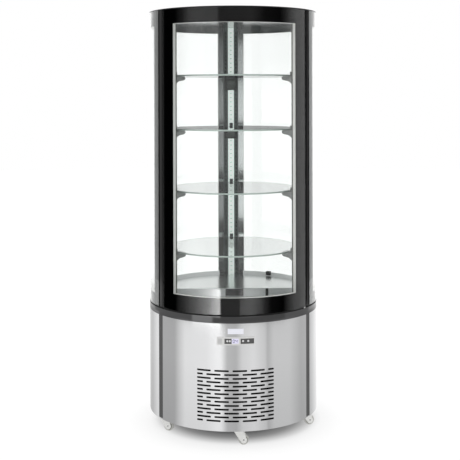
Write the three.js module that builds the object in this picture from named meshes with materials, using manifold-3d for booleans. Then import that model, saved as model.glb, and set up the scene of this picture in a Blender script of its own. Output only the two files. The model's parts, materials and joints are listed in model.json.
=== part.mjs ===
// Round refrigerated glass display cabinet on casters, in millimetres, +Z up.
// The origin lies on the floor under the cabinet's axis, and the front faces -Y.
// Angles are measured from the front, positive towards +X.
import * as THREE from 'three';
import { mergeVertices } from 'three/addons/utils/BufferGeometryUtils.js';
import Module from 'manifold-3d';

const wasm = await Module();
wasm.setup();

// Fits and cuts
const fit = 0.3; // gap between pieces that rest on or fit into each other
const overrun = 2; // how far a cutter runs past the face that it cuts
const bite = 0.3; // how far joined shapes of one piece run into each other
const facetCount = 72; // facets round every large circle
const fullTurn = 360; // degrees
const facetAngle = fullTurn / facetCount;
const quarterTurn = fullTurn / 4;
const halfTurn = fullTurn / 2;

// Overall body
const cabinetRadius = 340;
const casterHeight = 76;
const basePanelHeight = 405.4;
const ringHeight = 26;
const sillHeight = 5.2; // raised step of the ring that the glass stands on
const glassHeight = 1159.2;
const roofThickness = 3;
const doorTopGap = 1.5;

// Three full-height posts
const postAngle = 58.2; // the two front posts, either side of the door
const rearAngle = halfTurn;
const postHalfWidth = 14;
const postSetback = 3; // outer strip of the post behind the cabinet's outer face
const postStripDepth = 6;
const postWebHalfWidth = 6;
const postWebDepth = 16;
const railHalfWidth = 30;
const railDepth = 8.5;
const railNeckHalfWidth = 10;
const railNeckDepth = 2.5;
const ledHalfWidth = 13;
const ledDepth = 2.6;
const tabHalfGap = 21.5; // from the post's centre line to the bracket tabs
const tabWidth = 3;
const tabHeight = 12;
const tabReach = 5;
const tabDrop = 24; // from the shelf's underside to the middle of a tab

// Glazing: an outer pane, a frame between the panes, and an inner pane
const paneThickness = 4;
const inPaneThickness = 3.7;
const frameDepth = 13.7;
const sideBorderAngle = 7.5;
const sideHeadBorder = 60.7;
const sideSillBorder = 44.5;
const doorHalfAngle = 54.8;
const doorStileAngle = 10.4;
const doorHeadBorder = 55.5;
const doorRailBorder = 62.5;

// Door seal and hinge
const gasketThickness = 3.4;
const gasketEndAngle = 53.4;
const gasketWidth = 8;
const gasketWidthAngle = 1.6;
const hingeAngle = 53.6;
const hingeInset = 10; // pin centre behind the cabinet's outer face
const hingePinRadius = 4;
const hingePinReach = 9;
const hingeTopReach = 3.5;

// Stainless base
const sheetThickness = 2;
const basePanelSetback = 1;
const panThickness = 3;
const ventRimGap = 86.7; // from the pan's rim in to the vents
const ventDepth = 70;
const ventHalfAngle = 13;
const ventAngles = [148, 180, 212];

// Air grille in the front panel
const grilleRows = 14;
const grilleRowPitch = 14.48;
const grilleFirstHeight = 38.8; // lowest row above the panel's lower edge
const slotLength = 55;
const slotWidth = 6.8;
const slotCorner = 1.5; // cut off each corner of a slot
const slotGap = 14.1;
const shortSlotLength = 23.6;
const slotsPerRow = 4;

// Controller strip on the front panel
const bezelWidth = 142;
const bezelHeight = 31;
const bezelDrop = 65.4; // from the panel's upper edge to the strip's middle
const bezelDepth = 9;
const bezelCutDepth = 18; // how far the cutter for the strip reaches in behind the panel
const bezelCutHeight = 25;
const bezelCutWidth = 134;
const displayWidth = 26;
const displayHeight = 19;
const displayOffset = -1.5;
const displayDepth = 1.2; // shallow recess for the display window
const buttonRadius = 4.2;
const buttonLength = 6.6;
const buttonProud = 0.6;
const buttonTravel = 1;
const buttonOffsets = [-31.5, -22, 28, 47.5];
const buttonSides = 6;
const boreFacets = 12;

// Insulated tub under the chamber
const tubWall = 24;
const tubDepthShare = 0.439; // of the base panels' height
const tubFlange = 2.5;
const tubRimWidth = 8;
const tubRimHeight = 15;
const ringInset = 40; // inner radius of the ring behind its outer face
const floorThickness = 2;
const floorRimGap = 1;
const fanHoleRadius = 85;
const fanHoleRimGap = 45; // from the floor's rim in to the fan hole
const deckHeight = 32.6;
const deckFrontEdge = 13; // straight front edge of the raised deck, ahead of the axis
const deckBackGap = 10;
const deckSheet = 2;
const deckLegAsideShare = 0.5; // of the deck's radius
const deckLegBackShare = 0.534;

// Ceiling and roof
const ceilingThickness = 1.7;
const skirtHeight = 35;

// Shelves and their brackets
const shelfRailGap = 42; // from the rails' faces in to the shelves' edge
const shelfThickness = 6;
const shelfRises = [166.1, 406.1, 650.1, 863.1]; // of the shelves' undersides above the deck
const bracketHalfWidth = 18;
const bracketPlateHalfWidth = 28; // back plate that lies on the rail and carries the tabs
const bracketPlateThickness = 3;
const bracketTip = 70; // reach of the arm from the rail's face
const bracketRoot = 52;
const bracketTipHeight = 10;
const bracketTipRound = 5;
const bracketBend = 40;
const bracketBendHeight = 20;
const lipGap = 2.5;
const lipThickness = 4;
const lipHeight = 18;
const lipHalfWidth = 7;

// Casters
const casterAngles = { front: 0, left: -75, right: 81, rear: 180 };
const casterHeadings = { front: 90, left: 66, right: 105, rear: 0 };
// From the pan's rim in to each caster's pivot
const casterRimGaps = { front: 78.7, left: 37.7, right: 57.7, rear: 61.7 };
const casterTrail = 32;
const wheelRadius = 20;
const wheelWidth = 18;
const wheelFacets = 24;
const eyeFacets = 8; // steps round the lower edge of a fork's cheek
const axleRadius = 3;
const axleClearance = 0.4;
const forkSheet = 3;
const forkTopRadius = 18;
const forkTopHeight = 8;
const forkEyeRadius = 13;
const forkShoulderReach = 38;
const forkShoulderHeight = 44;
const forkSideHalfWidth = 15;
const casterFacets = 16;

// Refrigeration unit in the base
const compressorRadius = 76;
const compressorHeight = 150;
const compressorAsideShare = 0.297; // of the pan's radius
const compressorBackShare = 0.178;
const compressorCrown = 26;
const footHeight = 14;
const footSpan = 96; // half of the foot plate's length
const footFacets = 8;
const footRadius = 14;
const footPlateThickness = 3;
const coilWidth = 290;
const coilHeight = 190;
const coilDepth = 46;
const coilRimGap = 74.7; // from the pan's rim in to the front face of the condenser
const coilFins = 11;
const coilFinThickness = 3;
const coilTubeRadius = 7;
const coilTubeRows = 2;
const coilTubeFacets = 6;
const shroudDepth = 4;
const shroudBorder = 10; // of the shroud above and below the fan's hole
const fanClearance = 5;
const fanHubRadius = 24;
const fanHubDepth = 20;
const fanBlades = 5;
const fanBladeThickness = 2.5;
const fanBladeWidth = 32;
const fanBladePitch = 32;
const fanMotorRadius = 20;
const fanMotorDepth = 26;
const spiderWidth = 12;
const spiderArmCount = 3;
const evaporatorWidth = 320;
const evaporatorDepth = 110;
const evaporatorHeight = 110;
const evaporatorFrontShare = 0.435; // of the tub's inner radius, from the axis forwards
const fanFacets = 16;
const inletAngle = 160;
const inletWidth = 50;
const inletHeight = 30;
const inletDepth = 28;
const inletHeightAboveBase = 60;
const inletWall = 14; // behind the socket
const inletSocketWidth = 25;
const inletSocketHeight = 15;
const inletPinSetback = 5;
const inletPinWidth = 2.5;
const inletPinPitch = 7.5;
const inletPinHeight = 5;

// Heights, worked out from the stack
const baseBottom = casterHeight;
const panTop = baseBottom + panThickness;
const ringBottom = baseBottom + basePanelHeight + fit;
const ringTop = ringBottom + ringHeight;
const sillTop = ringTop + sillHeight;
const glassBottom = sillTop + fit;
const glassTop = glassBottom + glassHeight;
const roofBottom = glassTop + fit;
const doorHeight = glassHeight + fit - doorTopGap;
const tubBottom = sillTop - basePanelHeight * tubDepthShare;
const tubFloor = tubBottom + tubWall;
const bezelMiddle = baseBottom + basePanelHeight - bezelDrop;
const skirtBottom = roofBottom - skirtHeight;
const ceilingBottom = skirtBottom - fit - ceilingThickness;
const flangeTop = glassBottom + tubFlange;
const rimTop = flangeTop + tubRimHeight;
const floorBottom = flangeTop + fit;
const deckBottom = floorBottom + floorThickness + fit;
const deckTop = deckBottom + deckHeight;
const shelfHeights = shelfRises.map((rise) => deckTop + rise);

// Radii, worked out from the outside in
const frameOuter = cabinetRadius - paneThickness - fit;
const frameInner = frameOuter - frameDepth;
const inPaneOuter = frameInner - fit;
const inPaneInner = inPaneOuter - inPaneThickness;
const gasketOuter = inPaneInner - fit;
const postOuter = cabinetRadius - postSetback;
const webOuter = postOuter - postStripDepth;
const webInner = webOuter - postWebDepth;
const neckInner = webInner - railNeckDepth;
const railFace = neckInner - railDepth;
const panelOuter = cabinetRadius - basePanelSetback;
const panelInner = panelOuter - sheetThickness;
const panRadius = panelInner - fit;
const ringInner = cabinetRadius - ringInset;
const rimOuter = neckInner + railNeckDepth - floorRimGap;
const rimInner = rimOuter - tubRimWidth;
const tubOuter = ringInner - fit;
const floorRadius = rimInner - floorRimGap;
const fanHoleBack = floorRadius - fanHoleRimGap - fanHoleRadius; // from the axis to its middle
const evaporatorFront = (tubOuter - tubWall) * evaporatorFrontShare;
const shelfRadius = railFace - shelfRailGap;
const coilFront = panRadius - coilRimGap;
const shroudHoleRadius = coilHeight / 2 - shroudBorder;
const ventOuterRadius = panRadius - ventRimGap;
const ventInnerRadius = ventOuterRadius - ventDepth;
const bracketFace = railFace - fit;
const hingeRadius = cabinetRadius - hingeInset;

const radians = THREE.MathUtils.degToRad;
const degrees = THREE.MathUtils.radToDeg;

const weldDistance = 1e-4; // corners closer than this are one corner
const angleMargin = 0.5; // no facet is narrower than this, in degrees
const valuesPerPoint = 3;

// A closed mesh as a solid for cutting and joining
function toSolid(geometry) {
  const bare = geometry.clone();
  bare.deleteAttribute('normal');
  bare.deleteAttribute('uv');
  const merged = mergeVertices(bare, weldDistance);
  const corners = merged.index.array;
  const kept = [];
  for (let i = 0; i < corners.length; i += valuesPerPoint) {
    const [a, b, c] = corners.slice(i, i + valuesPerPoint);
    if (a !== b && b !== c && c !== a) kept.push(a, b, c);
  }
  const vertProperties = new Float32Array(merged.attributes.position.array);
  const triVerts = new Uint32Array(kept);
  return new wasm.Manifold(new wasm.Mesh({ numProp: valuesPerPoint, vertProperties, triVerts }));
}

function fromSolid(solid) {
  const mesh = solid.getMesh();
  const positions = new Float32Array(mesh.vertProperties);
  const geometry = new THREE.BufferGeometry();
  geometry.setAttribute('position', new THREE.BufferAttribute(positions, valuesPerPoint));
  geometry.setIndex(new THREE.BufferAttribute(new Uint32Array(mesh.triVerts), 1));
  const flat = geometry.toNonIndexed();
  flat.computeVertexNormals();
  return flat;
}

function cut(geometry, ...cutters) {
  const whole = toSolid(geometry);
  return fromSolid(cutters.reduce((solid, cutter) => solid.subtract(toSolid(cutter)), whole));
}

function join(first, ...others) {
  return fromSolid(others.reduce((solid, other) => solid.add(toSolid(other)), toSolid(first)));
}

// Radius of the faceted circle at an angle, so that every curved piece shares the same facets
function facetedRadius(radius, angle) {
  const halfFacet = facetAngle / 2;
  const middle = Math.floor(angle / facetAngle) * facetAngle + halfFacet;
  return radius * Math.cos(radians(halfFacet)) / Math.cos(radians(angle - middle));
}

function onCircle(radius, angle) {
  const reach = facetedRadius(radius, angle);
  return new THREE.Vector2(reach * Math.sin(radians(angle)), -reach * Math.cos(radians(angle)));
}

// Angle whose arc at a radius is as long as a width
function arcAngle(width, radius) {
  return degrees(width / radius);
}

// The corners of the facets between two angles, with both ends
function anglesBetween(from, to) {
  const angles = [from];
  for (let k = Math.ceil((from + angleMargin) / facetAngle); k * facetAngle < to - angleMargin; k += 1) {
    angles.push(k * facetAngle);
  }
  angles.push(to);
  return angles;
}

// A curved wall between two radii, two angles and two heights
function arcWall(inner, outer, from, to, bottom, top) {
  const angles = anglesBetween(from, to);
  const outerPoints = angles.map((angle) => onCircle(outer, angle));
  const innerPoints = angles.map((angle) => onCircle(inner, angle)).reverse();
  const wall = new THREE.ExtrudeGeometry(new THREE.Shape([...outerPoints, ...innerPoints]), {
    depth: top - bottom,
    bevelEnabled: false,
  });
  return wall.translate(0, 0, bottom);
}

// A turned piece from points of radius and height, which close on the axis or on themselves
function turned(points, facets = facetCount) {
  const profile = points.map(([radius, height]) => new THREE.Vector2(radius, height));
  return new THREE.LatheGeometry(profile, facets).rotateX(radians(quarterTurn));
}

function disc(radius, bottom, top, facets = facetCount) {
  return turned([[0, bottom], [radius, bottom], [radius, top], [0, top]], facets);
}

function box(left, rightEnd, front, back, bottom, top) {
  const block = new THREE.BoxGeometry(rightEnd - left, back - front, top - bottom);
  return block.translate((left + rightEnd) / 2, (front + back) / 2, (bottom + top) / 2);
}

// A bar built at the front: half width across, two radii and two heights
function bar(halfWidth, inner, outer, bottom, top) {
  return box(-halfWidth, halfWidth, -outer, -inner, bottom, top);
}

// A flat outline of width and height, pushed outwards from an inner to an outer radius
function pushedOut(shape, inner, outer) {
  const block = new THREE.ExtrudeGeometry(shape, { depth: outer - inner, bevelEnabled: false });
  return block.rotateX(radians(quarterTurn)).translate(0, -inner, 0);
}

// A bar of round section from one point to another along Y
function rodAlongY(radius, x, z, front, back, facets) {
  const rod = new THREE.CylinderGeometry(radius, radius, back - front, facets);
  return rod.translate(x, (front + back) / 2, z);
}

function rodAlongX(radius, y, z, left, rightEnd, facets) {
  const rod = new THREE.CylinderGeometry(radius, radius, rightEnd - left, facets);
  return rod.rotateZ(radians(quarterTurn)).translate((left + rightEnd) / 2, y, z);
}

// Finishes
const finishes = {
  stainless: { color: 0xc8c9ca, roughness: 0.32, metalness: 1 },
  darkPaint: { color: 0x4a4b4c, roughness: 0.45, metalness: 0.2 },
  blackFrame: { color: 0x060607, roughness: 0.12, metalness: 0 },
  greyEnamel: { color: 0x84868a, roughness: 0.3, metalness: 0.3 },
  clearGlass: { color: 0xeef5f2, roughness: 0.02, metalness: 0 },
  shelfGlass: { color: 0xdfeae6, roughness: 0.02, metalness: 0 },
  rubber: { color: 0x2c2c2d, roughness: 0.8, metalness: 0 },
  led: { color: 0xf6fbff, roughness: 0.4, metalness: 0 },
  bracketGrey: { color: 0x8a8d90, roughness: 0.4, metalness: 0.6 },
  blackPlastic: { color: 0x1d1e20, roughness: 0.4, metalness: 0 },
  casterPlastic: { color: 0xd6d6d2, roughness: 0.5, metalness: 0 },
  foamShell: { color: 0xd8d9d8, roughness: 0.6, metalness: 0 },
  compressorPaint: { color: 0x151617, roughness: 0.5, metalness: 0.1 },
  aluminium: { color: 0xbfc2c4, roughness: 0.4, metalness: 1 },
};

const materials = Object.fromEntries(Object.entries(finishes).map(([name, finish]) => {
  return [name, new THREE.MeshStandardMaterial({ name, ...finish })];
}));

function piece(name, geometry, material, turn = 0) {
  const mesh = new THREE.Mesh(geometry, materials[material]);
  mesh.name = name;
  mesh.rotation.z = radians(turn);
  return mesh;
}

// A box from one offset to another across the post, whichever side they lie on
function besideMiddle(side, near, far, inner, outer, bottom, top) {
  const [left, rightEnd] = side > 0 ? [near, far] : [-far, -near];
  return box(left, rightEnd, -outer, -inner, bottom, top);
}

// The flank of a rail that fills the room up to the inner pane beside the web
function railFlank(side, bottom, top) {
  const drop = railHalfWidth ** 2 / (2 * inPaneInner);
  const outer = inPaneInner - fit - drop;
  return besideMiddle(side, postWebHalfWidth, railHalfWidth, neckInner - bite, outer, bottom, top);
}

// The two slots of a rail that one bracket's tabs stand in
function tabSlots(shelfHeight) {
  const middle = shelfHeight - fit - tabDrop;
  const half = tabHeight / 2 + fit;
  const near = tabHalfGap - fit;
  const far = tabHalfGap + tabWidth + fit;
  const deep = railFace + tabReach + fit;
  return [-1, 1].map((side) => {
    return besideMiddle(side, near, far, railFace - overrun, deep, middle - half, middle + half);
  });
}

// Posts: an outer strip between the glass units, a web behind it and a slotted rail inside
function postGeometry(flankSides) {
  const bottom = panTop + fit;
  const railBottom = rimTop + fit;
  const railTop = ceilingBottom - fit;
  const strip = bar(postHalfWidth, webOuter - bite, postOuter, bottom, glassTop);
  const web = bar(postWebHalfWidth, webInner, webOuter, bottom, glassTop);
  const neck = bar(railNeckHalfWidth, neckInner - bite, webInner + bite, railBottom, railTop);
  const rail = bar(railHalfWidth, railFace, neckInner, railBottom, railTop);
  const flanks = flankSides.map((side) => railFlank(side, railBottom, railTop));
  const groove = bar(
    ledHalfWidth + fit,
    railFace - overrun,
    railFace + ledDepth + fit,
    railBottom - overrun,
    railTop + overrun,
  );
  return cut(join(strip, web, neck, rail, ...flanks), groove, ...shelfHeights.flatMap(tabSlots));
}

// The ring between base and glass, notched from inside for the posts
function ringGeometry() {
  const ring = turned([
    [ringInner, ringBottom],
    [cabinetRadius, ringBottom],
    [cabinetRadius, ringTop],
    [frameOuter, ringTop],
    [frameOuter, sillTop],
    [ringInner, sillTop],
    [ringInner, ringBottom],
  ]);
  const notches = [-postAngle, postAngle, rearAngle].map((angle) => {
    const bottom = ringBottom - overrun;
    const top = sillTop + overrun;
    const strip = bar(postHalfWidth + fit, webOuter - bite - fit, postOuter + fit, bottom, top);
    const web = bar(postWebHalfWidth + fit, webInner - fit, webOuter, bottom, top);
    return join(strip, web).rotateZ(radians(angle));
  });
  return cut(ring, ...notches, hingeBore(sillTop - hingePinReach - fit, sillTop + overrun));
}

function hingeBore(bottom, top) {
  return hingeRod(hingePinRadius + fit, bottom, top);
}

function hingeRod(radius, bottom, top) {
  const rod = new THREE.CylinderGeometry(radius, radius, top - bottom, casterFacets);
  rod.rotateX(radians(quarterTurn)).translate(0, -hingeRadius, (bottom + top) / 2);
  return rod.rotateZ(radians(hingeAngle));
}

function roofGeometry() {
  const roof = turned([
    [0, roofBottom],
    [rimInner, roofBottom],
    [rimInner, skirtBottom],
    [rimOuter, skirtBottom],
    [rimOuter, roofBottom],
    [cabinetRadius, roofBottom],
    [cabinetRadius, roofBottom + roofThickness],
    [0, roofBottom + roofThickness],
  ]);
  return cut(roof, hingeBore(roofBottom - overrun, roofBottom + roofThickness + overrun));
}

function tubGeometry() {
  const tubInner = tubOuter - tubWall;
  return turned([
    [0, tubBottom],
    [tubOuter, tubBottom],
    [tubOuter, glassBottom],
    [rimOuter, glassBottom],
    [rimOuter, rimTop],
    [rimInner, rimTop],
    [rimInner, flangeTop],
    [tubInner, flangeTop],
    [tubInner, tubFloor],
    [0, tubFloor],
  ]);
}

// Arms that carry a fan motor in the middle of a round hole
function spiderArms(holeRadius, bottom, top) {
  return Array.from({ length: spiderArmCount }, (_, k) => {
    const arm = bar(spiderWidth / 2, fanMotorRadius / 2, holeRadius + overrun, bottom, top);
    return arm.rotateZ(radians(k * fullTurn / spiderArmCount));
  });
}

function floorGeometry() {
  const top = floorBottom + floorThickness;
  const plate = disc(floorRadius, floorBottom, top);
  const hole = disc(fanHoleRadius, floorBottom - overrun, top + overrun, fanFacets);
  const motor = disc(fanMotorRadius, top - fanMotorDepth, top, fanFacets);
  const carrier = join(motor, ...spiderArms(fanHoleRadius, floorBottom, top));
  hole.translate(0, fanHoleBack, 0);
  carrier.translate(0, fanHoleBack, 0);
  return join(cut(plate, hole), carrier);
}

// Raised cover over the air fan: a half disc open at the bottom and along its round edge
function deckGeometry() {
  const outer = rimInner - deckBackGap;
  const front = deckFrontEdge;
  const half = Math.sqrt(outer ** 2 - front ** 2);
  const edgeAngle = quarterTurn - degrees(Math.asin(front / outer));
  const lidAngles = anglesBetween(edgeAngle, fullTurn - edgeAngle);
  const outline = new THREE.Shape(lidAngles.map((angle) => onCircle(outer, angle)));
  const lid = new THREE.ExtrudeGeometry(outline, { depth: deckSheet, bevelEnabled: false });
  lid.translate(0, 0, deckTop - deckSheet);
  const riserHalf = half - deckSheet;
  const riserTop = deckTop - bite;
  const riser = box(-riserHalf, riserHalf, -front, -front + deckSheet, deckBottom, riserTop);
  const legs = [-1, 1].map((side) => {
    const leg = box(-deckSheet, deckSheet, -deckSheet, deckSheet, deckBottom, riserTop);
    return leg.translate(side * outer * deckLegAsideShare, outer * deckLegBackShare, 0);
  });
  return join(lid, riser, ...legs);
}

// A glazed unit is a set of curved walls over the same span of angles
function frameGeometry(from, to, bottom, top, startBorder, endBorder, sillBorder, headBorder) {
  const body = arcWall(frameInner, frameOuter, from, to, bottom, top);
  const windowCut = arcWall(
    frameInner - overrun,
    frameOuter + overrun,
    from + startBorder,
    to - endBorder,
    bottom + sillBorder,
    top - headBorder,
  );
  return cut(body, windowCut);
}

function gasketGeometry() {
  const inner = gasketOuter - gasketThickness;
  const bottom = glassBottom + gasketWidth / 2;
  const top = glassBottom + doorHeight - gasketWidth / 2;
  const body = arcWall(inner, gasketOuter, -gasketEndAngle, gasketEndAngle, bottom, top);
  const windowCut = arcWall(
    inner - overrun,
    gasketOuter + overrun,
    -gasketEndAngle + gasketWidthAngle,
    gasketEndAngle - gasketWidthAngle,
    bottom + gasketWidth,
    top - gasketWidth,
  );
  return cut(body, windowCut);
}

function doorFrameGeometry() {
  const bottom = glassBottom;
  const top = glassBottom + doorHeight;
  const frame = frameGeometry(
    -doorHalfAngle,
    doorHalfAngle,
    bottom,
    top,
    doorStileAngle,
    doorStileAngle,
    doorRailBorder,
    doorHeadBorder,
  );
  const lowerPin = hingeRod(hingePinRadius, sillTop - hingePinReach, bottom + overrun);
  const upperPin = hingeRod(hingePinRadius, top - overrun, top + hingeTopReach);
  return join(frame, lowerPin, upperPin);
}

function doorPieces() {
  const top = glassBottom + doorHeight;
  const pane = (inner, outer) => arcWall(inner, outer, -doorHalfAngle, doorHalfAngle, glassBottom, top);
  return [
    piece('door_outer_glass', pane(cabinetRadius - paneThickness, cabinetRadius), 'clearGlass'),
    piece('door_frame', doorFrameGeometry(), 'blackFrame'),
    piece('door_inner_glass', pane(inPaneInner, inPaneOuter), 'clearGlass'),
    piece('door_gasket', gasketGeometry(), 'rubber'),
  ];
}

// The two fixed glass units run from a front post round to the rear post
function sideGlassPieces(side, mirrored) {
  const postEdge = arcAngle(postHalfWidth + fit, postOuter);
  const near = postAngle + postEdge;
  const far = rearAngle - postEdge;
  const [from, to] = mirrored ? [-far, -near] : [near, far];
  const pane = (inner, outer) => arcWall(inner, outer, from, to, glassBottom, glassTop);
  const frame = frameGeometry(
    from,
    to,
    glassBottom,
    glassTop,
    sideBorderAngle,
    sideBorderAngle,
    sideSillBorder,
    sideHeadBorder,
  );
  return [
    piece(`${side}_outer_glass`, pane(cabinetRadius - paneThickness, cabinetRadius), 'clearGlass'),
    piece(`${side}_glass_frame`, frame, 'greyEnamel'),
    piece(`${side}_inner_glass`, pane(inPaneInner, inPaneOuter), 'clearGlass'),
  ];
}

// A slot with its corners cut off, lying along the panel
function slotShape(length) {
  const half = length / 2;
  const rise = slotWidth / 2;
  const shortHalf = half - slotCorner;
  const shortRise = rise - slotCorner;
  return new THREE.Shape([
    new THREE.Vector2(-shortHalf, -rise),
    new THREE.Vector2(shortHalf, -rise),
    new THREE.Vector2(half, -shortRise),
    new THREE.Vector2(half, shortRise),
    new THREE.Vector2(shortHalf, rise),
    new THREE.Vector2(-shortHalf, rise),
    new THREE.Vector2(-half, shortRise),
    new THREE.Vector2(-half, -shortRise),
  ]);
}

function slotCutter(length, along, height) {
  const cutter = pushedOut(slotShape(length), panelInner - overrun, panelOuter + overrun);
  return cutter.translate(0, 0, height).rotateZ(radians(arcAngle(along, panelOuter)));
}

// Rows of long slots, with a short one at the left or right end in turn
function grilleCutters() {
  const pitch = slotLength + slotGap;
  const rowLength = slotsPerRow * pitch + shortSlotLength;
  const cutters = [];
  for (let row = 0; row < grilleRows; row += 1) {
    const height = baseBottom + grilleFirstHeight + row * grilleRowPitch;
    const side = row % 2 === 0 ? -1 : 1;
    const shortMiddle = side * (rowLength - shortSlotLength) / 2;
    cutters.push(slotCutter(shortSlotLength, shortMiddle, height));
    for (let k = 0; k < slotsPerRow; k += 1) {
      const longMiddle = side * ((rowLength - slotLength) / 2 - shortSlotLength - slotGap - k * pitch);
      cutters.push(slotCutter(slotLength, longMiddle, height));
    }
  }
  return cutters;
}

function basePanel(from, to) {
  return arcWall(panelInner, panelOuter, from, to, baseBottom, baseBottom + basePanelHeight);
}

function basePanelPieces() {
  const postEdge = arcAngle(postHalfWidth + fit, panelInner);
  const near = postAngle + postEdge;
  const far = rearAngle - postEdge;
  const frontEdge = postAngle - postEdge;
  const controlCut = bar(
    bezelCutWidth / 2 + fit,
    panelInner - bezelCutDepth,
    panelOuter + overrun,
    bezelMiddle - bezelCutHeight / 2 - fit,
    bezelMiddle + bezelCutHeight / 2 + fit,
  );
  const inletMiddle = baseBottom + inletHeightAboveBase;
  const inletCut = bar(
    inletWidth / 2 + fit,
    panelInner - inletDepth / 2,
    panelOuter + overrun,
    inletMiddle - inletHeight / 2 - fit,
    inletMiddle + inletHeight / 2 + fit,
  ).rotateZ(radians(inletAngle));
  const frontPanel = cut(basePanel(-frontEdge, frontEdge), controlCut, ...grilleCutters());
  return [
    piece('base_front_panel', frontPanel, 'stainless'),
    piece('base_left_panel', basePanel(-far, -near), 'stainless'),
    piece('base_right_panel', cut(basePanel(near, far), inletCut), 'stainless'),
  ];
}

function panGeometry() {
  const plate = disc(panRadius, baseBottom, panTop);
  const vents = ventAngles.map((angle) => {
    return arcWall(
      ventInnerRadius,
      ventOuterRadius,
      angle - ventHalfAngle,
      angle + ventHalfAngle,
      baseBottom - overrun,
      panTop + overrun,
    );
  });
  return cut(plate, ...vents);
}

// Controller: a strip let into the front panel, with a display window and four buttons
function bezelGeometry() {
  const span = arcAngle(bezelWidth / 2, panelOuter);
  const plateBottom = bezelMiddle - bezelHeight / 2;
  const plateTop = plateBottom + bezelHeight;
  const plate = arcWall(panelOuter + fit, cabinetRadius, -span, span, plateBottom, plateTop);
  const body = bar(
    bezelCutWidth / 2,
    panelInner - bezelDepth,
    bezelFace(bezelCutWidth / 2) - bite,
    bezelMiddle - bezelCutHeight / 2,
    bezelMiddle + bezelCutHeight / 2,
  );
  const displayRecess = bar(
    displayWidth / 2,
    cabinetRadius - displayDepth,
    cabinetRadius + overrun,
    bezelMiddle - displayHeight / 2,
    bezelMiddle + displayHeight / 2,
  ).translate(displayOffset, 0, 0);
  const buttonCuts = buttonOffsets.map((offset) => {
    const boreBack = -buttonBack(offset) + buttonTravel + fit;
    const boreFront = -cabinetRadius - overrun;
    return rodAlongY(buttonRadius + fit, offset, bezelMiddle, boreFront, boreBack, boreFacets);
  });
  return cut(join(plate, body), displayRecess, ...buttonCuts);
}

// The outer face of the strip at a distance from its middle
function bezelFace(offset) {
  return -onCircle(cabinetRadius, arcAngle(offset, cabinetRadius)).y;
}

function buttonBack(offset) {
  return bezelFace(offset) + buttonProud - buttonLength;
}

function controlPieces() {
  const buttons = buttonOffsets.map((offset, index) => {
    const front = Math.min(bezelFace(offset) + buttonProud, cabinetRadius);
    const back = -buttonBack(offset);
    const button = rodAlongY(buttonRadius, offset, bezelMiddle, -front, back, buttonSides);
    return piece(`control_button_${index + 1}`, button, 'casterPlastic');
  });
  return [
    piece('control_bezel', bezelGeometry(), 'blackPlastic'),
    ...buttons,
  ];
}

// Shelf bracket: a wedge arm on a back plate, with a stop lip and two tabs in the rail
function bracketGeometry(height) {
  const seat = height - fit;
  const lipInner = shelfRadius + lipGap;
  const lipOuter = lipInner + lipThickness;
  const tip = bracketFace - bracketTip;
  const outline = [
    [bracketFace, seat - bracketRoot],
    [bracketFace, seat],
    [tip + bracketTipRound, seat],
    [tip, seat - bracketTipRound],
    [tip, seat - bracketTipHeight],
    [tip + bracketTipRound, seat - bracketTipHeight - bracketTipRound],
    [bracketFace - bracketBend, seat - bracketBendHeight],
  ];
  const shape = new THREE.Shape(outline.map(([radius, z]) => new THREE.Vector2(radius, z)));
  const arm = new THREE.ExtrudeGeometry(shape, { depth: 2 * bracketHalfWidth, bevelEnabled: false });
  arm.rotateX(radians(quarterTurn)).rotateZ(-radians(quarterTurn)).translate(bracketHalfWidth, 0, 0);
  const plateInner = bracketFace - bracketPlateThickness;
  const plate = bar(bracketPlateHalfWidth, plateInner, bracketFace, seat - bracketRoot, seat);
  const lip = bar(lipHalfWidth, lipInner, lipOuter, seat - bite, seat + lipHeight);
  const tabBottom = seat - tabDrop - tabHeight / 2;
  const tabTop = tabBottom + tabHeight;
  const tabFar = tabHalfGap + tabWidth;
  const tabEnd = railFace + tabReach;
  const tabs = [-1, 1].map((side) => {
    return besideMiddle(side, tabHalfGap, tabFar, bracketFace - bite, tabEnd, tabBottom, tabTop);
  });
  return join(arm, plate, lip, ...tabs);
}

function shelfPieces() {
  return shelfHeights.map((height, index) => {
    return piece(`shelf_${index + 1}`, disc(shelfRadius, height, height + shelfThickness), 'shelfGlass');
  });
}

function bracketPieces() {
  const sides = { left: -postAngle, right: postAngle, rear: rearAngle };
  return Object.entries(sides).flatMap(([side, angle]) => {
    return shelfHeights.map((height, index) => {
      return piece(`${side}_bracket_${index + 1}`, bracketGeometry(height), 'bracketGrey', angle);
    });
  });
}

// Caster fork and wheel, built at the pivot with the wheel trailing along +X
function forkGeometry() {
  const top = casterHeight - fit;
  const cap = disc(forkTopRadius, top - forkTopHeight, top, casterFacets);
  const cheekInner = wheelWidth / 2 + axleClearance;
  const cheekSides = [-1, 1].map((side) => {
    const outline = new THREE.Shape();
    outline.moveTo(-forkSideHalfWidth, top - bite);
    outline.lineTo(-forkSideHalfWidth, top - forkTopHeight);
    for (let k = 0; k <= eyeFacets; k += 1) {
      const angle = radians(halfTurn + quarterTurn / 2 + k * halfTurn / eyeFacets);
      const across = forkEyeRadius * Math.cos(angle);
      const up = forkEyeRadius * Math.sin(angle);
      outline.lineTo(casterTrail + across, wheelRadius + up);
    }
    outline.lineTo(forkShoulderReach, forkShoulderHeight);
    outline.lineTo(forkSideHalfWidth, top - forkTopHeight);
    outline.lineTo(forkSideHalfWidth, top - bite);
    const cheek = new THREE.ExtrudeGeometry(outline, { depth: forkSheet, bevelEnabled: false });
    cheek.rotateX(radians(quarterTurn));
    return cheek.translate(0, side > 0 ? cheekInner + forkSheet : -cheekInner, 0);
  });
  const axleHole = rodAlongY(
    axleRadius + axleClearance,
    casterTrail,
    wheelRadius,
    -cheekInner - forkSheet - overrun,
    cheekInner + forkSheet + overrun,
    casterFacets,
  );
  return cut(join(cap, ...cheekSides), axleHole);
}

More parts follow.
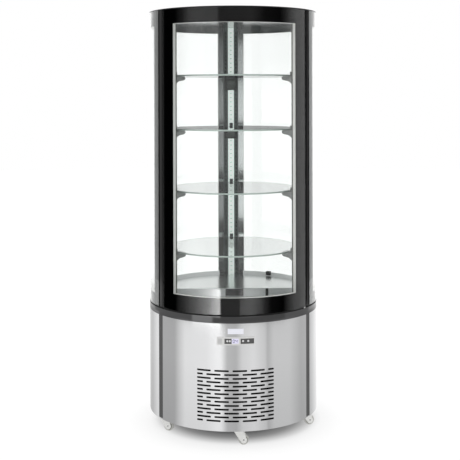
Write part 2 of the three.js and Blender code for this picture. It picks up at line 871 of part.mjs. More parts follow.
function wheelGeometry() {
  const halfFacet = radians(halfTurn / wheelFacets);
  const cornerRadius = wheelRadius / Math.cos(halfFacet);
  const half = wheelWidth / 2;
  const tread = new THREE.CylinderGeometry(cornerRadius, cornerRadius, wheelWidth, wheelFacets);
  tread.rotateY(halfFacet);
  const reach = half + axleClearance + forkSheet;
  const axle = rodAlongY(axleRadius, 0, 0, -reach, reach, casterFacets);
  return join(tread, axle).translate(casterTrail, 0, wheelRadius);
}

function casterPieces() {
  return Object.entries(casterAngles).flatMap(([place, angle]) => {
    const reach = panRadius - casterRimGaps[place];
    const pivotX = reach * Math.sin(radians(angle));
    const pivotY = -reach * Math.cos(radians(angle));
    const heading = casterHeadings[place] - quarterTurn;
    const parts = [
      piece(`${place}_caster_fork`, forkGeometry(), 'casterPlastic', heading),
      piece(`${place}_caster_wheel`, wheelGeometry(), 'casterPlastic', heading),
    ];
    parts.forEach((mesh) => mesh.position.set(pivotX, pivotY, 0));
    return parts;
  });
}

// A finned coil: upright fins held together by rows of tubes
function finnedCoil(width, depth, height) {
  const pitch = (width - coilFinThickness) / (coilFins - 1);
  const fins = Array.from({ length: coilFins }, (_, k) => {
    const left = -width / 2 + k * pitch;
    return box(left, left + coilFinThickness, 0, depth, 0, height);
  });
  const tubes = Array.from({ length: coilTubeRows }, (_, k) => {
    const z = height * (k + 1) / (coilTubeRows + 1);
    return rodAlongX(coilTubeRadius, depth / 2, z, -width / 2 + bite, width / 2 - bite, coilTubeFacets);
  });
  return join(...fins, ...tubes);
}

// A fan rotor round Z with its hub's top at zero
function rotorGeometry(fanRadius) {
  const hub = disc(fanHubRadius, -fanHubDepth, 0, fanFacets);
  const bladeRoot = fanHubRadius / 2;
  const blades = Array.from({ length: fanBlades }, (_, k) => {
    const blade = new THREE.BoxGeometry(fanRadius - bladeRoot, fanBladeWidth, fanBladeThickness);
    blade.rotateX(radians(fanBladePitch)).translate((fanRadius + bladeRoot) / 2, 0, -fanHubDepth / 2);
    return blade.rotateZ(radians(k * fullTurn / fanBlades));
  });
  return join(hub, ...blades);
}

// Shroud plate behind the condenser, with the motor carried in its hole
function shroudGeometry() {
  const halfWidth = coilWidth / 2;
  const plate = box(-halfWidth, halfWidth, -coilHeight / 2, coilHeight / 2, 0, shroudDepth);
  const hole = disc(shroudHoleRadius, -overrun, shroudDepth + overrun, fanFacets);
  const motor = disc(fanMotorRadius, 0, fanMotorDepth, fanFacets);
  return join(cut(plate, hole), motor, ...spiderArms(shroudHoleRadius, 0, shroudDepth));
}

function compressorGeometry() {
  const bottom = panTop + fit;
  const shellBottom = bottom + footHeight;
  const shellTop = shellBottom + compressorHeight;
  const shell = turned([
    [0, shellBottom],
    [compressorRadius - compressorCrown, shellBottom],
    [compressorRadius, shellBottom + compressorCrown],
    [compressorRadius, shellTop - compressorCrown],
    [compressorRadius - compressorCrown, shellTop],
    [0, shellTop],
  ], casterFacets);
  const plateHalf = footSpan / 2;
  const plateTop = shellBottom + footPlateThickness;
  const plate = box(-footSpan, footSpan, -plateHalf, plateHalf, shellBottom - bite, plateTop);
  const feet = [[-1, -1], [1, -1], [1, 1], [-1, 1]].map(([sideX, sideY]) => {
    const foot = disc(footRadius, bottom, shellBottom, footFacets);
    return foot.translate(sideX * (footSpan - footRadius), sideY * (plateHalf - footRadius), 0);
  });
  const aside = -panRadius * compressorAsideShare;
  return join(shell, plate, ...feet).translate(aside, panRadius * compressorBackShare, 0);
}

// The refrigeration unit: condenser with its fan at the front, evaporator in the tub
function coolingPieces() {
  const coilBottom = panTop + fit;
  const condenser = finnedCoil(coilWidth, coilDepth, coilHeight).translate(0, -coilFront, coilBottom);
  const shroudFront = -coilFront + coilDepth + fit;
  const shroud = shroudGeometry().rotateX(radians(quarterTurn)).rotateZ(radians(halfTurn));
  shroud.translate(0, shroudFront, coilBottom + coilHeight / 2);
  const rotor = rotorGeometry(shroudHoleRadius - fanClearance).rotateX(radians(quarterTurn));
  rotor.translate(0, shroudFront + fanMotorDepth + fit, coilBottom + coilHeight / 2);
  const evaporator = finnedCoil(evaporatorWidth, evaporatorDepth, evaporatorHeight);
  evaporator.translate(0, -evaporatorFront, tubFloor + fit);
  const evaporatorFan = rotorGeometry(fanHoleRadius - fanClearance);
  evaporatorFan.translate(0, fanHoleBack, floorBottom + floorThickness - fanMotorDepth - fit);
  return [
    piece('compressor', compressorGeometry(), 'compressorPaint'),
    piece('condenser_coil', condenser, 'aluminium'),
    piece('condenser_fan_shroud', shroud, 'blackPlastic'),
    piece('condenser_fan', rotor, 'blackPlastic'),
    piece('evaporator_coil', evaporator, 'aluminium'),
    piece('evaporator_fan', evaporatorFan, 'blackPlastic'),
  ];
}

// Mains socket: a shroud round three pins, let into the panel
function inletGeometry() {
  const middle = baseBottom + inletHeightAboveBase;
  const bottom = middle - inletHeight / 2;
  const back = panelInner - inletDepth;
  const body = bar(inletWidth / 2, back, panelOuter - fit, bottom, bottom + inletHeight);
  const socketBottom = middle - inletSocketHeight / 2;
  const socketTop = socketBottom + inletSocketHeight;
  const socketBack = back + inletWall;
  const socket = bar(inletSocketWidth / 2, socketBack, panelOuter + overrun, socketBottom, socketTop);
  const pinFront = panelInner - inletPinSetback;
  const pinBottom = middle - inletPinHeight / 2;
  const pinTop = pinBottom + inletPinHeight;
  const pins = [-1, 0, 1].map((place) => {
    const pin = bar(inletPinWidth / 2, socketBack - bite, pinFront, pinBottom, pinTop);
    return pin.translate(place * inletPinPitch, 0, 0);
  });
  return join(cut(body, socket), ...pins);
}

function ledGeometry() {
  const bottom = rimTop + fit;
  const top = ceilingBottom - fit;
  return bar(ledHalfWidth, railFace + fit, railFace + ledDepth, bottom, top);
}

const cabinet = new THREE.Group();
cabinet.add(
  piece('base_pan', panGeometry(), 'stainless'),
  ...basePanelPieces(),
  piece('left_post', postGeometry([-1]), 'darkPaint', -postAngle),
  piece('right_post', postGeometry([1]), 'darkPaint', postAngle),
  piece('rear_post', postGeometry([-1, 1]), 'darkPaint', rearAngle),
  piece('base_ring', ringGeometry(), 'darkPaint'),
  piece('insulated_tub', tubGeometry(), 'foamShell'),
  piece('chamber_floor', floorGeometry(), 'stainless'),
  piece('rear_deck', deckGeometry(), 'stainless'),
  piece('ceiling_panel', disc(rimOuter, ceilingBottom, ceilingBottom + ceilingThickness), 'stainless'),
  piece('roof_cap', roofGeometry(), 'darkPaint'),
  ...sideGlassPieces('left', true),
  ...sideGlassPieces('right', false),
  piece('led_strip', ledGeometry(), 'led', rearAngle),
  ...bracketPieces(),
  ...shelfPieces(),
  ...controlPieces(),
  ...coolingPieces(),
  piece('power_inlet', inletGeometry(), 'blackPlastic', inletAngle),
  ...doorPieces(),
  ...casterPieces(),
);

export default cabinet;
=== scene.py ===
"""Visual model of a round refrigerated display cabinet, dressed over its CAD frame. Metres, +Z up."""

import json
import logging
import math
from dataclasses import dataclass, field
from enum import Enum
from typing import Callable, Optional, Sequence

import bmesh
import bpy
from mathutils import Matrix, Vector


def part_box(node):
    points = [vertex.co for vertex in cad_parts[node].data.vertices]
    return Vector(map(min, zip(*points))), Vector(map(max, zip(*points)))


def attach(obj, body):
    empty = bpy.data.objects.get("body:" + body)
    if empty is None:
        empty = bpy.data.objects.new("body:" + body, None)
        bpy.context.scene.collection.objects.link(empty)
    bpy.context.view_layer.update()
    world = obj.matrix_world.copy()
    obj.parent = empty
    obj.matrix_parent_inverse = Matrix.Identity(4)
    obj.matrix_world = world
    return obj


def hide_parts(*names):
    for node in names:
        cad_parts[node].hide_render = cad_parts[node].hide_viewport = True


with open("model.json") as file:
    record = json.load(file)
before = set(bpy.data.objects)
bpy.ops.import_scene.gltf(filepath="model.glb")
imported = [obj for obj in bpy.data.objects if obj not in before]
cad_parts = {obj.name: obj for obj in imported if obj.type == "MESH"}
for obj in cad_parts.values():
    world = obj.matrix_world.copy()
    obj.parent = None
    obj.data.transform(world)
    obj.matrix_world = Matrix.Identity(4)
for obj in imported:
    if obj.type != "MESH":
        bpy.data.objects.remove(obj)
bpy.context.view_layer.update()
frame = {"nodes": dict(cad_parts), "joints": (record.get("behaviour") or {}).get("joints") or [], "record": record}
log = logging.getLogger("cabinet")

Colour = tuple[float, float, float]
Size = tuple[float, float, float]
Point = tuple[float, float]
Face = bmesh.types.BMFace
Node = bpy.types.Node
Piece = bpy.types.Object
Shape = bmesh.types.BMesh
Socket = bpy.types.NodeSocket
Tree = bpy.types.NodeTree

FULL_TURN = 2 * math.pi
WELD = 2e-6
BAR_STEP = 2.5
ROUND_WALL = 0.99
FLAT_ANGLE = math.radians(1)
GENTLE_ANGLE = math.radians(32)
SHARP_ANGLE = math.radians(35)
UP = Vector((0.0, 0.0, 1.0))
WHITE = (1.0, 1.0, 1.0, 1.0)
LEVELS = range(1, 5)
EASE_SEGMENTS = 2
NOISE_DETAIL = 2.0
BODY_OF = {node: body for body, nodes in frame["record"]["behaviour"]["bodies"].items() for node in nodes}
SLOT_OF = {row["node"]: row["material_slot"] for row in frame["record"]["subparts"]}
JOINTS = {joint["name"]: joint for joint in frame["joints"]}


class Grain(Enum):
    """How a finish varies over its surface: the stretch of its fine noise along each axis."""

    SPECKLE = (1.0, 1.0, 1.0)
    BRUSHED_ROUND = (14.0, 14.0, 1500.0)
    BRUSHED_ACROSS = (10.0, 1300.0, 1300.0)


@dataclass(frozen=True)
class Finish:
    """An opaque finish: colour, gloss and the grain that breaks both up."""

    name: str
    colour: Colour
    roughness: float
    metallic: float
    scale: float
    tone_shift: float
    gloss_shift: float
    bump: float
    grain: Grain = Grain.SPECKLE
    glow: float = 0.0
    specular: float = 0.5


@dataclass(frozen=True)
class Glass:
    """A clear finish whose colour varies a little over the pane, and which soft light passes straight."""

    name: str
    colour: Colour
    scale: float = 3.0
    tone_shift: float = 0.004
    grain: Grain = Grain.SPECKLE
    refraction: float = 1.5
    clear: tuple = (0.96, 0.97, 0.965, 1.0)


ROUND, ACROSS = Grain.BRUSHED_ROUND, Grain.BRUSHED_ACROSS
STEEL = Finish("brushed_stainless", (0.85, 0.853, 0.86), 0.09, 1.0, 1.0, 0.02, 0.06, 0.004, ROUND)
DECK_STEEL = Finish("polished_deck_steel", (0.78, 0.8, 0.795), 0.22, 1.0, 1.0, 0.03, 0.03, 0.003, ACROSS)
CEILING_STEEL = Finish("ceiling_steel", (0.42, 0.43, 0.43), 0.14, 0.9, 1.0, 0.05, 0.05, 0.01, ACROSS)
RAIL_PAINT = Finish("rail_grey_paint", (0.075, 0.095, 0.09), 0.32, 0.3, 900.0, 0.12, 0.05, 0.02)
STRIP_BLACK = Finish("post_strip_black", (0.002, 0.002, 0.002), 0.12, 0.0, 700.0, 0.2, 0.04, 0.003)
SEAM_GREY = Finish("panel_seam_grey", (0.075, 0.075, 0.075), 0.4, 0.2, 700.0, 0.1, 0.05, 0.01)
RING_METAL = Finish("ring_dark_metal", (0.148, 0.148, 0.15), 0.03, 1.0, 700.0, 0.05, 0.02, 0.001)
ROOF_PAINT = Finish("roof_dark_satin", (0.02, 0.02, 0.021), 0.38, 0.1, 800.0, 0.12, 0.08, 0.03)
BLACK_ENAMEL = Finish("black_enamel", (0.0008, 0.0008, 0.0009), 0.6, 0.0, 300.0, 0.2, 0.1, 0.0, specular=0.0)
BORDER_ENAMEL = Finish("border_enamel", (0.09, 0.092, 0.092), 0.4, 0.0, 300.0, 0.05, 0.05, 0.0, specular=0.1)
INNER_SILVER = Finish("inner_frame_silver", (0.8, 0.825, 0.83), 0.14, 1.0, 900.0, 0.05, 0.05, 0.004)
SPACER_METAL = Finish("spacer_aluminium", (0.9, 0.89, 0.87), 0.35, 0.4, 1.0, 0.05, 0.08, 0.02, ACROSS)
SPACER_FOOT = Finish("spacer_foot_grey", (0.4, 0.41, 0.4), 0.4, 0.2, 1.0, 0.05, 0.08, 0.02, ACROSS)
SEAL_RUBBER = Finish("seal_rubber", (0.012, 0.012, 0.012), 0.7, 0.0, 400.0, 0.15, 0.1, 0.05, specular=0.2)
TRIM_GREY = Finish("inner_trim_grey", (0.11, 0.112, 0.1), 0.45, 0.2, 500.0, 0.1, 0.06, 0.02)
BRACKET_PAINT = Finish("bracket_grey_paint", (0.3, 0.305, 0.3), 0.36, 0.35, 700.0, 0.1, 0.06, 0.03)
# Painted shade: a darker copy of the bracket paint for the rear brackets, which are the same part as the left and
# right ones.
BRACKET_PAINT_SHADED = Finish(
    "bracket_paint_painted_shade", (0.02, 0.024, 0.022), 0.4, 0.0, 700.0, 0.15, 0.06, 0.03, specular=0.3
)
# Painted shade: near black for blocks that stand for openings, the rail slots and the riser's vent and notch.
SLOT_PAINTED_SHADE = Finish("slot_shadow", (0.004, 0.005, 0.005), 0.75, 0.0, 500.0, 0.2, 0.08, 0.02, specular=0.1)
BLACK_PLASTIC = Finish("black_plastic", (0.014, 0.014, 0.016), 0.38, 0.0, 1200.0, 0.15, 0.08, 0.04)
STRIP_SILVER = Finish("strip_silver_plastic", (0.68, 0.68, 0.67), 0.4, 0.1, 900.0, 0.04, 0.05, 0.01)
STRIP_GREY = Finish("strip_mid_grey", (0.52, 0.52, 0.52), 0.45, 0.0, 900.0, 0.06, 0.05, 0.01)
STRIP_DARK = Finish("strip_dark_grey", (0.085, 0.085, 0.085), 0.45, 0.0, 900.0, 0.1, 0.05, 0.01)
KEY_PLASTIC = Finish("key_plastic", (0.72, 0.72, 0.73), 0.42, 0.0, 900.0, 0.05, 0.06, 0.02)
CASTER_PLASTIC = Finish("caster_plastic", (0.83, 0.83, 0.81), 0.42, 0.0, 500.0, 0.05, 0.08, 0.03)
TYRE_PLASTIC = Finish("tyre_pale_grey", (0.56, 0.56, 0.53), 0.5, 0.0, 600.0, 0.08, 0.08, 0.04)
GROOVE_OLIVE = Finish("wheel_groove_olive", (0.2, 0.2, 0.165), 0.6, 0.0, 600.0, 0.12, 0.08, 0.04)
PIN_STEEL = Finish("pin_steel", (0.7, 0.7, 0.7), 0.25, 1.0, 1.0, 0.04, 0.08, 0.01, ACROSS)
FOAM_SHELL = Finish("tub_shell", (0.66, 0.67, 0.66), 0.55, 0.0, 250.0, 0.05, 0.08, 0.04)
RISER_SATIN = Finish("riser_satin", (0.9, 0.905, 0.92), 0.3, 0.25, 1.0, 0.04, 0.06, 0.01, ACROSS)
COIL_METAL = Finish("coil_aluminium", (0.6, 0.61, 0.62), 0.4, 1.0, 1.0, 0.08, 0.1, 0.04, ACROSS)
# Painted shade: the condenser coil is made near black, where the evaporator coil keeps plain aluminium, so that
# the base reads dark behind its slots.
COIL_PAINTED_SHADE = Finish(
    "coil_painted_shade_black", (0.012, 0.012, 0.013), 0.6, 0.0, 1.0, 0.15, 0.1, 0.04, ACROSS, specular=0.2
)
POT_ENAMEL = Finish("compressor_enamel", (0.012, 0.012, 0.013), 0.3, 0.0, 500.0, 0.2, 0.08, 0.03)
LIGHT_DIFFUSER = Finish("light_diffuser", (0.8, 0.87, 0.84), 0.4, 0.0, 500.0, 0.04, 0.05, 0.0, glow=0.42)
LIGHT_CHIP = Finish("light_chip", (0.5, 0.55, 0.52), 0.4, 0.0, 500.0, 0.06, 0.05, 0.0, glow=0.3)
# Painted light: the curbs glow, though they are no lamp, to lighten them inside the chamber.
CURB_PAINTED_GLOW_GREY = Finish("curb_grey_painted_light", (0.75, 0.76, 0.765), 0.4, 0.0, 500.0, 0.04, 0.06, 0.01, glow=0.22)
DISPLAY_GLOW = Finish("display_backlight", (0.66, 0.64, 0.8), 0.3, 0.0, 500.0, 0.04, 0.02, 0.0, glow=0.25)
DIGIT_BLUE = Finish("display_digits", (0.05, 0.05, 0.16), 0.3, 0.0, 900.0, 0.05, 0.05, 0.0)
PLATE_SATIN = Finish("plate_satin", (0.84, 0.85, 0.92), 0.35, 0.0, 1.0, 0.03, 0.05, 0.01, ACROSS)
SHELF_EDGE = Finish("shelf_ground_edge", (0.5, 0.57, 0.54), 0.3, 0.0, 400.0, 0.08, 0.08, 0.02)
PANE_GLASS = Glass("pane_glass", (0.99, 0.998, 0.994))
SHELF_GLASS = Glass("shelf_glass", (0.965, 0.985, 0.978))


def feed(tree: Tree, node: Node, values: dict) -> None:
    """Links a node's inputs to sockets, or sets them to plain values.

    Args:
        tree: The node tree.
        node: The node.
        values: A socket or a plain value for each input, by the input's name or number.
    """
    for key, value in values.items():
        if isinstance(value, Socket):
            tree.links.new(value, node.inputs[key])
        else:
            node.inputs[key].default_value = value


def add_node(tree: Tree, kind: str, values: dict, operation: Optional[str] = None) -> Node:
    """Adds a shader node.

    Args:
        tree: The node tree.
        kind: The node's type, without the words that every shader node's type starts with.
        values: A socket or a plain value for each input, by the input's name or number.
        operation: What a math node works out.

    Returns:
        The node.
    """
    node = tree.nodes.new(f"ShaderNode{kind}")
    if operation:
        node.operation = operation
    feed(tree, node, values)
    return node


def calc(tree: Tree, operation: str, *values: "float | Socket") -> Socket:
    """Adds a math node on sockets or plain numbers."""
    return add_node(tree, "Math", dict(enumerate(values)), operation).outputs[0]


def mixed(tree: Tree, share: Socket, first: Socket, second: Socket) -> Socket:
    """Mixes two shaders by a share, 0 for the first and 1 for the second."""
    return add_node(tree, "MixShader", {0: share, 1: first, 2: second}).outputs[0]


def shine(tree: Tree, kind: str, colour: "tuple | Socket", strength: "float | Socket") -> Socket:
    """Adds an Emission or Background node, whichever kind names."""
    return add_node(tree, kind, {"Color": colour, "Strength": strength}).outputs[0]


def fade(tree: Tree, value: Socket, start: float, end: float) -> Socket:
    """Rises from 0 to 1 as a value goes from start to end."""
    return add_node(tree, "MapRange", {"Value": value, "From Min": start, "From Max": end}).outputs["Result"]


def azimuth(tree: Tree, vector: Socket) -> Socket:
    """The angle, in radians from the front towards +X, of a vector's direction round the cabinet."""
    split = add_node(tree, "SeparateXYZ", {0: vector}).outputs
    return calc(tree, "ARCTAN2", split["X"], calc(tree, "MULTIPLY", split["Y"], -1.0))


def distance(tree: Tree, place: Socket, centre: Point = (0.0, 0.0)) -> Socket:
    """How far a place on the floor lies from a point."""
    return add_node(tree, "VectorMath", {0: place, 1: (*centre, 0.0)}, "DISTANCE").outputs["Value"]


def noise(tree: Tree, vector: Socket, scale: float) -> Socket:
    """Adds a noise texture fed by a vector."""
    values = {"Vector": vector, "Scale": scale, "Detail": NOISE_DETAIL}
    return add_node(tree, "TexNoise", values).outputs["Fac"]


def ramp(tree: Tree, place: Socket, stops: Sequence[tuple[float, Colour]]) -> Socket:
    """Adds a colour ramp.

    Args:
        tree: The node tree.
        place: What is looked up in it.
        stops: The place, from 0 to 1, and the colour of each stop.

    Returns:
        The colour found.
    """
    node = add_node(tree, "ValToRGB", {"Fac": place})
    elements = node.color_ramp.elements
    while len(elements) < len(stops):
        elements.new(0.5)
    for element, (position, colour) in zip(elements, stops):
        element.position = position
        element.color = (*colour, 1)
    return node.outputs["Color"]


def new_group(name: str, inputs: dict[str, str], outputs: dict[str, str]) -> tuple:
    """Starts a shader node group.

    Args:
        name: The group's name.
        inputs: The kind of each of its input sockets, by name.
        outputs: The kind of each of its output sockets, by name.

    Returns:
        The node tree, the sockets that bring its inputs in, and the node that takes its outputs.
    """
    tree = bpy.data.node_groups.new(name, "ShaderNodeTree")
    for way, sockets in (("INPUT", inputs), ("OUTPUT", outputs)):
        for label, kind in sockets.items():
            tree.interface.new_socket(label, in_out=way, socket_type=f"NodeSocket{kind}")
    return tree, tree.nodes.new("NodeGroupInput").outputs, tree.nodes.new("NodeGroupOutput")


def use_group(tree: Tree, group: Tree, values: dict) -> bpy.types.bpy_prop_collection:
    """Adds a node that runs a group.

    Args:
        tree: The node tree.
        group: The group's tree.
        values: A socket or a plain value for each of its inputs, by name.

    Returns:
        The node's outputs.
    """
    node = tree.nodes.new("ShaderNodeGroup")
    node.node_tree = group
    feed(tree, node, values)
    return node.outputs


@dataclass
class Paintbox:
    """Makes each finish's material once and hands it out."""

    tone_stops: Point = (0.3, 0.7)
    fine_scale: float = 1.0
    broad_scale: float = 5.0
    broad_share: float = 0.35
    bump_depth: float = 0.0005
    made: dict = field(default_factory=dict)

    def get(self, finish: Finish | Glass) -> bpy.types.Material:
        """Finds a finish's material, which is made at its first use.

        Args:
            finish: The finish.

        Returns:
            Its material.
        """
        if finish.name not in self.made:
            build = self.glass if isinstance(finish, Glass) else self.opaque
            self.made[finish.name] = build(finish)
        return self.made[finish.name]

    def grain(self, grain: Grain) -> Tree:
        """Finds, or builds, the node group of one kind of grain.

        Args:
            grain: The kind.

        Returns:
            The group, which puts out Tone and Height.
        """
        name = f"grain_{grain.name.lower()}"
        found = bpy.data.node_groups.get(name)
        if found:
            return found
        inputs, outputs = {"Position": "Vector", "Scale": "Float"}, {"Tone": "Float", "Height": "Float"}
        tree, source, sink = new_group(name, inputs, outputs)
        spread = add_node(tree, "VectorMath", {0: source["Position"], "Scale": source["Scale"]}, "SCALE")
        stretched = add_node(tree, "Mapping", {"Vector": spread.outputs[0], "Scale": grain.value})
        fine = noise(tree, stretched.outputs["Vector"], self.fine_scale)
        broad = noise(tree, source["Position"], self.broad_scale)
        blend = add_node(tree, "Mix", {"Factor": self.broad_share, "A": fine, "B": broad})
        feed(tree, sink, {"Tone": blend.outputs["Result"], "Height": fine})
        return tree

    def start(self, finish: Finish | Glass) -> tuple:
        """Makes a material with its grain on Object coordinates.

        Args:
            finish: What the material shows.

        Returns:
            The material, its tree, its Principled node, the grain's sockets and the colour's socket.
        """
        material = bpy.data.materials.new(finish.name)
        material.use_nodes = True
        tree = material.node_tree
        place = tree.nodes.new("ShaderNodeTexCoord").outputs["Object"]
        grain = use_group(tree, self.grain(finish.grain), {"Position": place, "Scale": finish.scale})
        ends = (1 - finish.tone_shift, 1 + finish.tone_shift)
        tones = [tuple(min(1.0, part * end) for part in finish.colour) for end in ends]
        colour = ramp(tree, grain["Tone"], list(zip(self.tone_stops, tones)))
        return material, tree, tree.nodes["Principled BSDF"], grain, colour

    def opaque(self, finish: Finish) -> bpy.types.Material:
        """Builds the material of an opaque finish.

        Args:
            finish: The finish.

        Returns:
            Its material.
        """
        material, tree, shader, grain, colour = self.start(finish)
        half = finish.gloss_shift / 2
        ends = {"To Min": max(0.0, finish.roughness - half), "To Max": finish.roughness + half}
        gloss = add_node(tree, "MapRange", {"Value": grain["Tone"], **ends})
        feed(tree, shader, {
            "Base Color": colour,
            "Roughness": gloss.outputs["Result"],
            "Metallic": finish.metallic,
            "Specular IOR Level": finish.specular,
        })
        if finish.bump:
            relief = {"Strength": finish.bump, "Distance": self.bump_depth, "Height": grain["Height"]}
            feed(tree, shader, {"Normal": add_node(tree, "Bump", relief).outputs["Normal"]})
        if finish.glow:
            feed(tree, shader, {"Emission Color": colour, "Emission Strength": finish.glow})
        return material

    def glass(self, finish: Glass) -> bpy.types.Material:
        """Builds the material of a glass, which lets lamp and room light straight through.

        Args:
            finish: The glass.

        Returns:
            Its material.
        """
        material, tree, shader, _, colour = self.start(finish)
        feed(tree, shader, {
            "Base Color": colour,
            "Roughness": 0.0,
            "Transmission Weight": 1.0,
            "IOR": finish.refraction,
        })
        path = tree.nodes.new("ShaderNodeLightPath").outputs
        straight = calc(tree, "MAXIMUM", path["Is Shadow Ray"], path["Is Diffuse Ray"])
        clear = add_node(tree, "BsdfTransparent", {"Color": finish.clear})
        surface = mixed(tree, straight, shader.outputs["BSDF"], clear.outputs["BSDF"])
        feed(tree, tree.nodes["Material Output"], {"Surface": surface})
        return material


PAINT = Paintbox()


def on_circle(radius: float, angle: float, height: float) -> Vector:
    """A point at a radius, an angle in degrees from the front towards +X, and a height."""
    turn = math.radians(angle)
    return Vector((radius * math.sin(turn), -radius * math.cos(turn), height))


def add_piece(
    bm: Shape, name: str, finishes: Sequence, body: str = "cabinet", slot: Optional[str] = None
) -> Piece:
    """Turns a bmesh into a piece of the model, dressed and riding on its body.

    Args:
        bm: The finished shape, in the model's frame; it is freed.
        name: The piece's name.
        finishes: Its finishes, in the order of its faces' material indices.
        body: The CAD body that it moves with.
        slot: The record's material slot that its finish belongs to, if it has one; not used.

    Returns:
        The new object.
    """
    mesh = bpy.data.meshes.new(name)
    bm.to_mesh(mesh)
    bm.free()
    for finish in finishes:
        mesh.materials.append(PAINT.get(finish))
    piece = bpy.data.objects.new(name, mesh)
    bpy.context.scene.collection.objects.link(piece)
    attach(piece, body)
    return piece


def set_round_normals(piece: Piece) -> None:
    """Gives walls that run round the cabinet's axis a true round shading, and other faces a flat one.

    Args:
        piece: The piece to shade.
    """
    mesh = piece.data
    normals = []
    for face in mesh.polygons:
        for index in face.vertices:
            corner = mesh.vertices[index].co
            out = Vector((corner.x, corner.y, 0.0))
            lean = face.normal.dot(out.normalized()) if out.length > WELD else 0.0
            along = out.normalized() * math.copysign(1.0, lean)
            normals.append(along if abs(lean) > ROUND_WALL else face.normal)
    mesh.polygons.foreach_set("use_smooth", [True] * len(mesh.polygons))
    mesh.normals_split_custom_set(normals)


def smooth_by_angle(piece: Piece, angle: float = GENTLE_ANGLE) -> None:
    """Shades a piece smoothly over its gentle edges."""
    piece.data.polygons.foreach_set("use_smooth", [True] * len(piece.data.polygons))
    piece.data.set_sharp_from_angle(angle=angle)


def cut_at(bm: Shape, axis: int, places: Sequence[float]) -> None:
    """Cuts all faces of a mesh along planes across one axis, and keeps both sides.

    Args:
        bm: The mesh.
        axis: The axis' number, 0 for X.
        places: Where the planes cross it.
    """
    for place in places:
        point, normal = Vector(), Vector()
        point[axis], normal[axis] = place, 1.0
        everything = [*bm.verts, *bm.edges, *bm.faces]
        bmesh.ops.bisect_plane(bm, geom=everything, dist=WELD, plane_co=point, plane_no=normal)


def outward_lean(face: Face) -> float:
    """How far a face turns away from the cabinet's axis, from -1 to 1."""
    middle = face.calc_center_median()
    return face.normal.dot(Vector((middle.x, middle.y, 0.0)).normalized())


def copy_of(node: str) -> Shape:
    """A merged copy of a CAD node's mesh.

    Args:
        node: The CAD node.

    Returns:
        The copy.
    """
    bm = bmesh.new()
    bm.from_mesh(frame["nodes"][node].data)
    bmesh.ops.remove_doubles(bm, verts=bm.verts, dist=WELD)
    return bm


def round_piece(
    node: str,
    *finishes: Finish | Glass,
    rule: Optional[Callable[[Face], int]] = None,
    cuts: Sequence[tuple[int, Sequence[float]]] = (),
) -> None:
    """Replaces a node that runs round the cabinet's axis by a smoothly shaded copy.

    Args:
        node: The CAD node.
        finishes: The copy's finishes.
        rule: Tells which finish a face gets, by its place in the list; none means the first.
        cuts: Axes and places where faces are cut first, so that a finish may end there.
    """
    bm = copy_of(node)
    for axis, places in cuts:
        cut_at(bm, axis, places)
    if rule:
        for face in bm.faces:
            face.material_index = rule(face)
    piece = add_piece(bm, f"{node}_shaded", finishes, BODY_OF[node], SLOT_OF[node])
    set_round_normals(piece)
    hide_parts(node)


def soft_edged(node: str, finish: Finish, width: float) -> None:
    """Replaces a node by a copy whose sharp edges are eased.

    Args:
        node: The CAD node.
        finish: The copy's finish.
        width: How wide the eased edge is.
    """
    bm = copy_of(node)
    bmesh.ops.dissolve_limit(bm, angle_limit=FLAT_ANGLE, verts=bm.verts, edges=bm.edges)
    piece = add_piece(bm, f"{node}_eased", [finish], BODY_OF[node], SLOT_OF[node])
    easing = piece.modifiers.new("eased edges", "BEVEL")
    easing.width = width
    easing.segments = EASE_SEGMENTS
    easing.limit_method = "ANGLE"
    easing.angle_limit = SHARP_ANGLE
    easing.harden_normals = True
    smooth_by_angle(piece, SHARP_ANGLE)
    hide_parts(node)


def dress(node: str, finish: Finish) -> None:
    """Gives a CAD node that keeps its own shape its finish.

    Args:
        node: The CAD node.
        finish: The finish.
    """
    holder = frame["nodes"][node]
    material = PAINT.get(finish)
    if not holder.material_slots:
        holder.data.materials.append(material)
    for slot in holder.material_slots:
        slot.material = material


def bent_bar(bm: Shape, radii: Point, heights: Point, ends: Point) -> None:
    """Adds a bar of rectangular section that runs round the cabinet's axis.

    Args:
        bm: The mesh to add to.
        radii: The bar's inner and outer radius.
        heights: The heights of its underside and its top.
        ends: The angles, in degrees, at which it starts and ends.
    """
    (inner, outer), (low, high), (start, end) = radii, heights, ends
    corners = ((inner, low), (outer, low), (outer, high), (inner, high))
    face = bm.faces.new([bm.verts.new(on_circle(radius, start, height)) for radius, height in corners])
    section = [*face.verts, *face.edges, face]
    steps = max(1, round((end - start) / BAR_STEP))
    turn = math.radians(end - start)
    bmesh.ops.spin(bm, geom=section, cent=(0, 0, 0), axis=UP, angle=turn, steps=steps)


def closed_outwards(bm: Shape) -> Shape:
    """Merges doubles, closes open ends and turns all faces outwards.

    Args:
        bm: The mesh.

    Returns:
        The same mesh.
    """
    bmesh.ops.remove_doubles(bm, verts=bm.verts, dist=WELD)
    bmesh.ops.holes_fill(bm, edges=[edge for edge in bm.edges if edge.is_boundary], sides=0)
    bmesh.ops.recalc_face_normals(bm, faces=bm.faces)
    return bm


def bent_plate(name: str, finish: Finish, radii: Point, heights: Point, ends: Point) -> None:
    """Adds a single bar that runs round the cabinet's axis as a piece of its own.

    Args:
        name: The piece's name.
        finish: Its finish.
        radii: Its inner and outer radius.
        heights: The heights of its underside and its top.
        ends: The angles, in degrees, at which it starts and ends.
    """
    bm = bmesh.new()
    bent_bar(bm, radii, heights, ends)
    set_round_normals(add_piece(closed_outwards(bm), name, [finish]))


def mirrored(half: Sequence[Point]) -> list[Point]:
    """Completes a turned part's outline, which is alike on both sides of its middle.

    Args:
        half: Points of radius and place along the axis, on one side, from the axis or the bore outwards.

    Returns:
        The whole outline, which closes on itself where the part has a bore.
    """
    whole = [*((radius, -place) for radius, place in half), *reversed(half)]
    return [*whole, whole[0]] if half[0][0] else whole


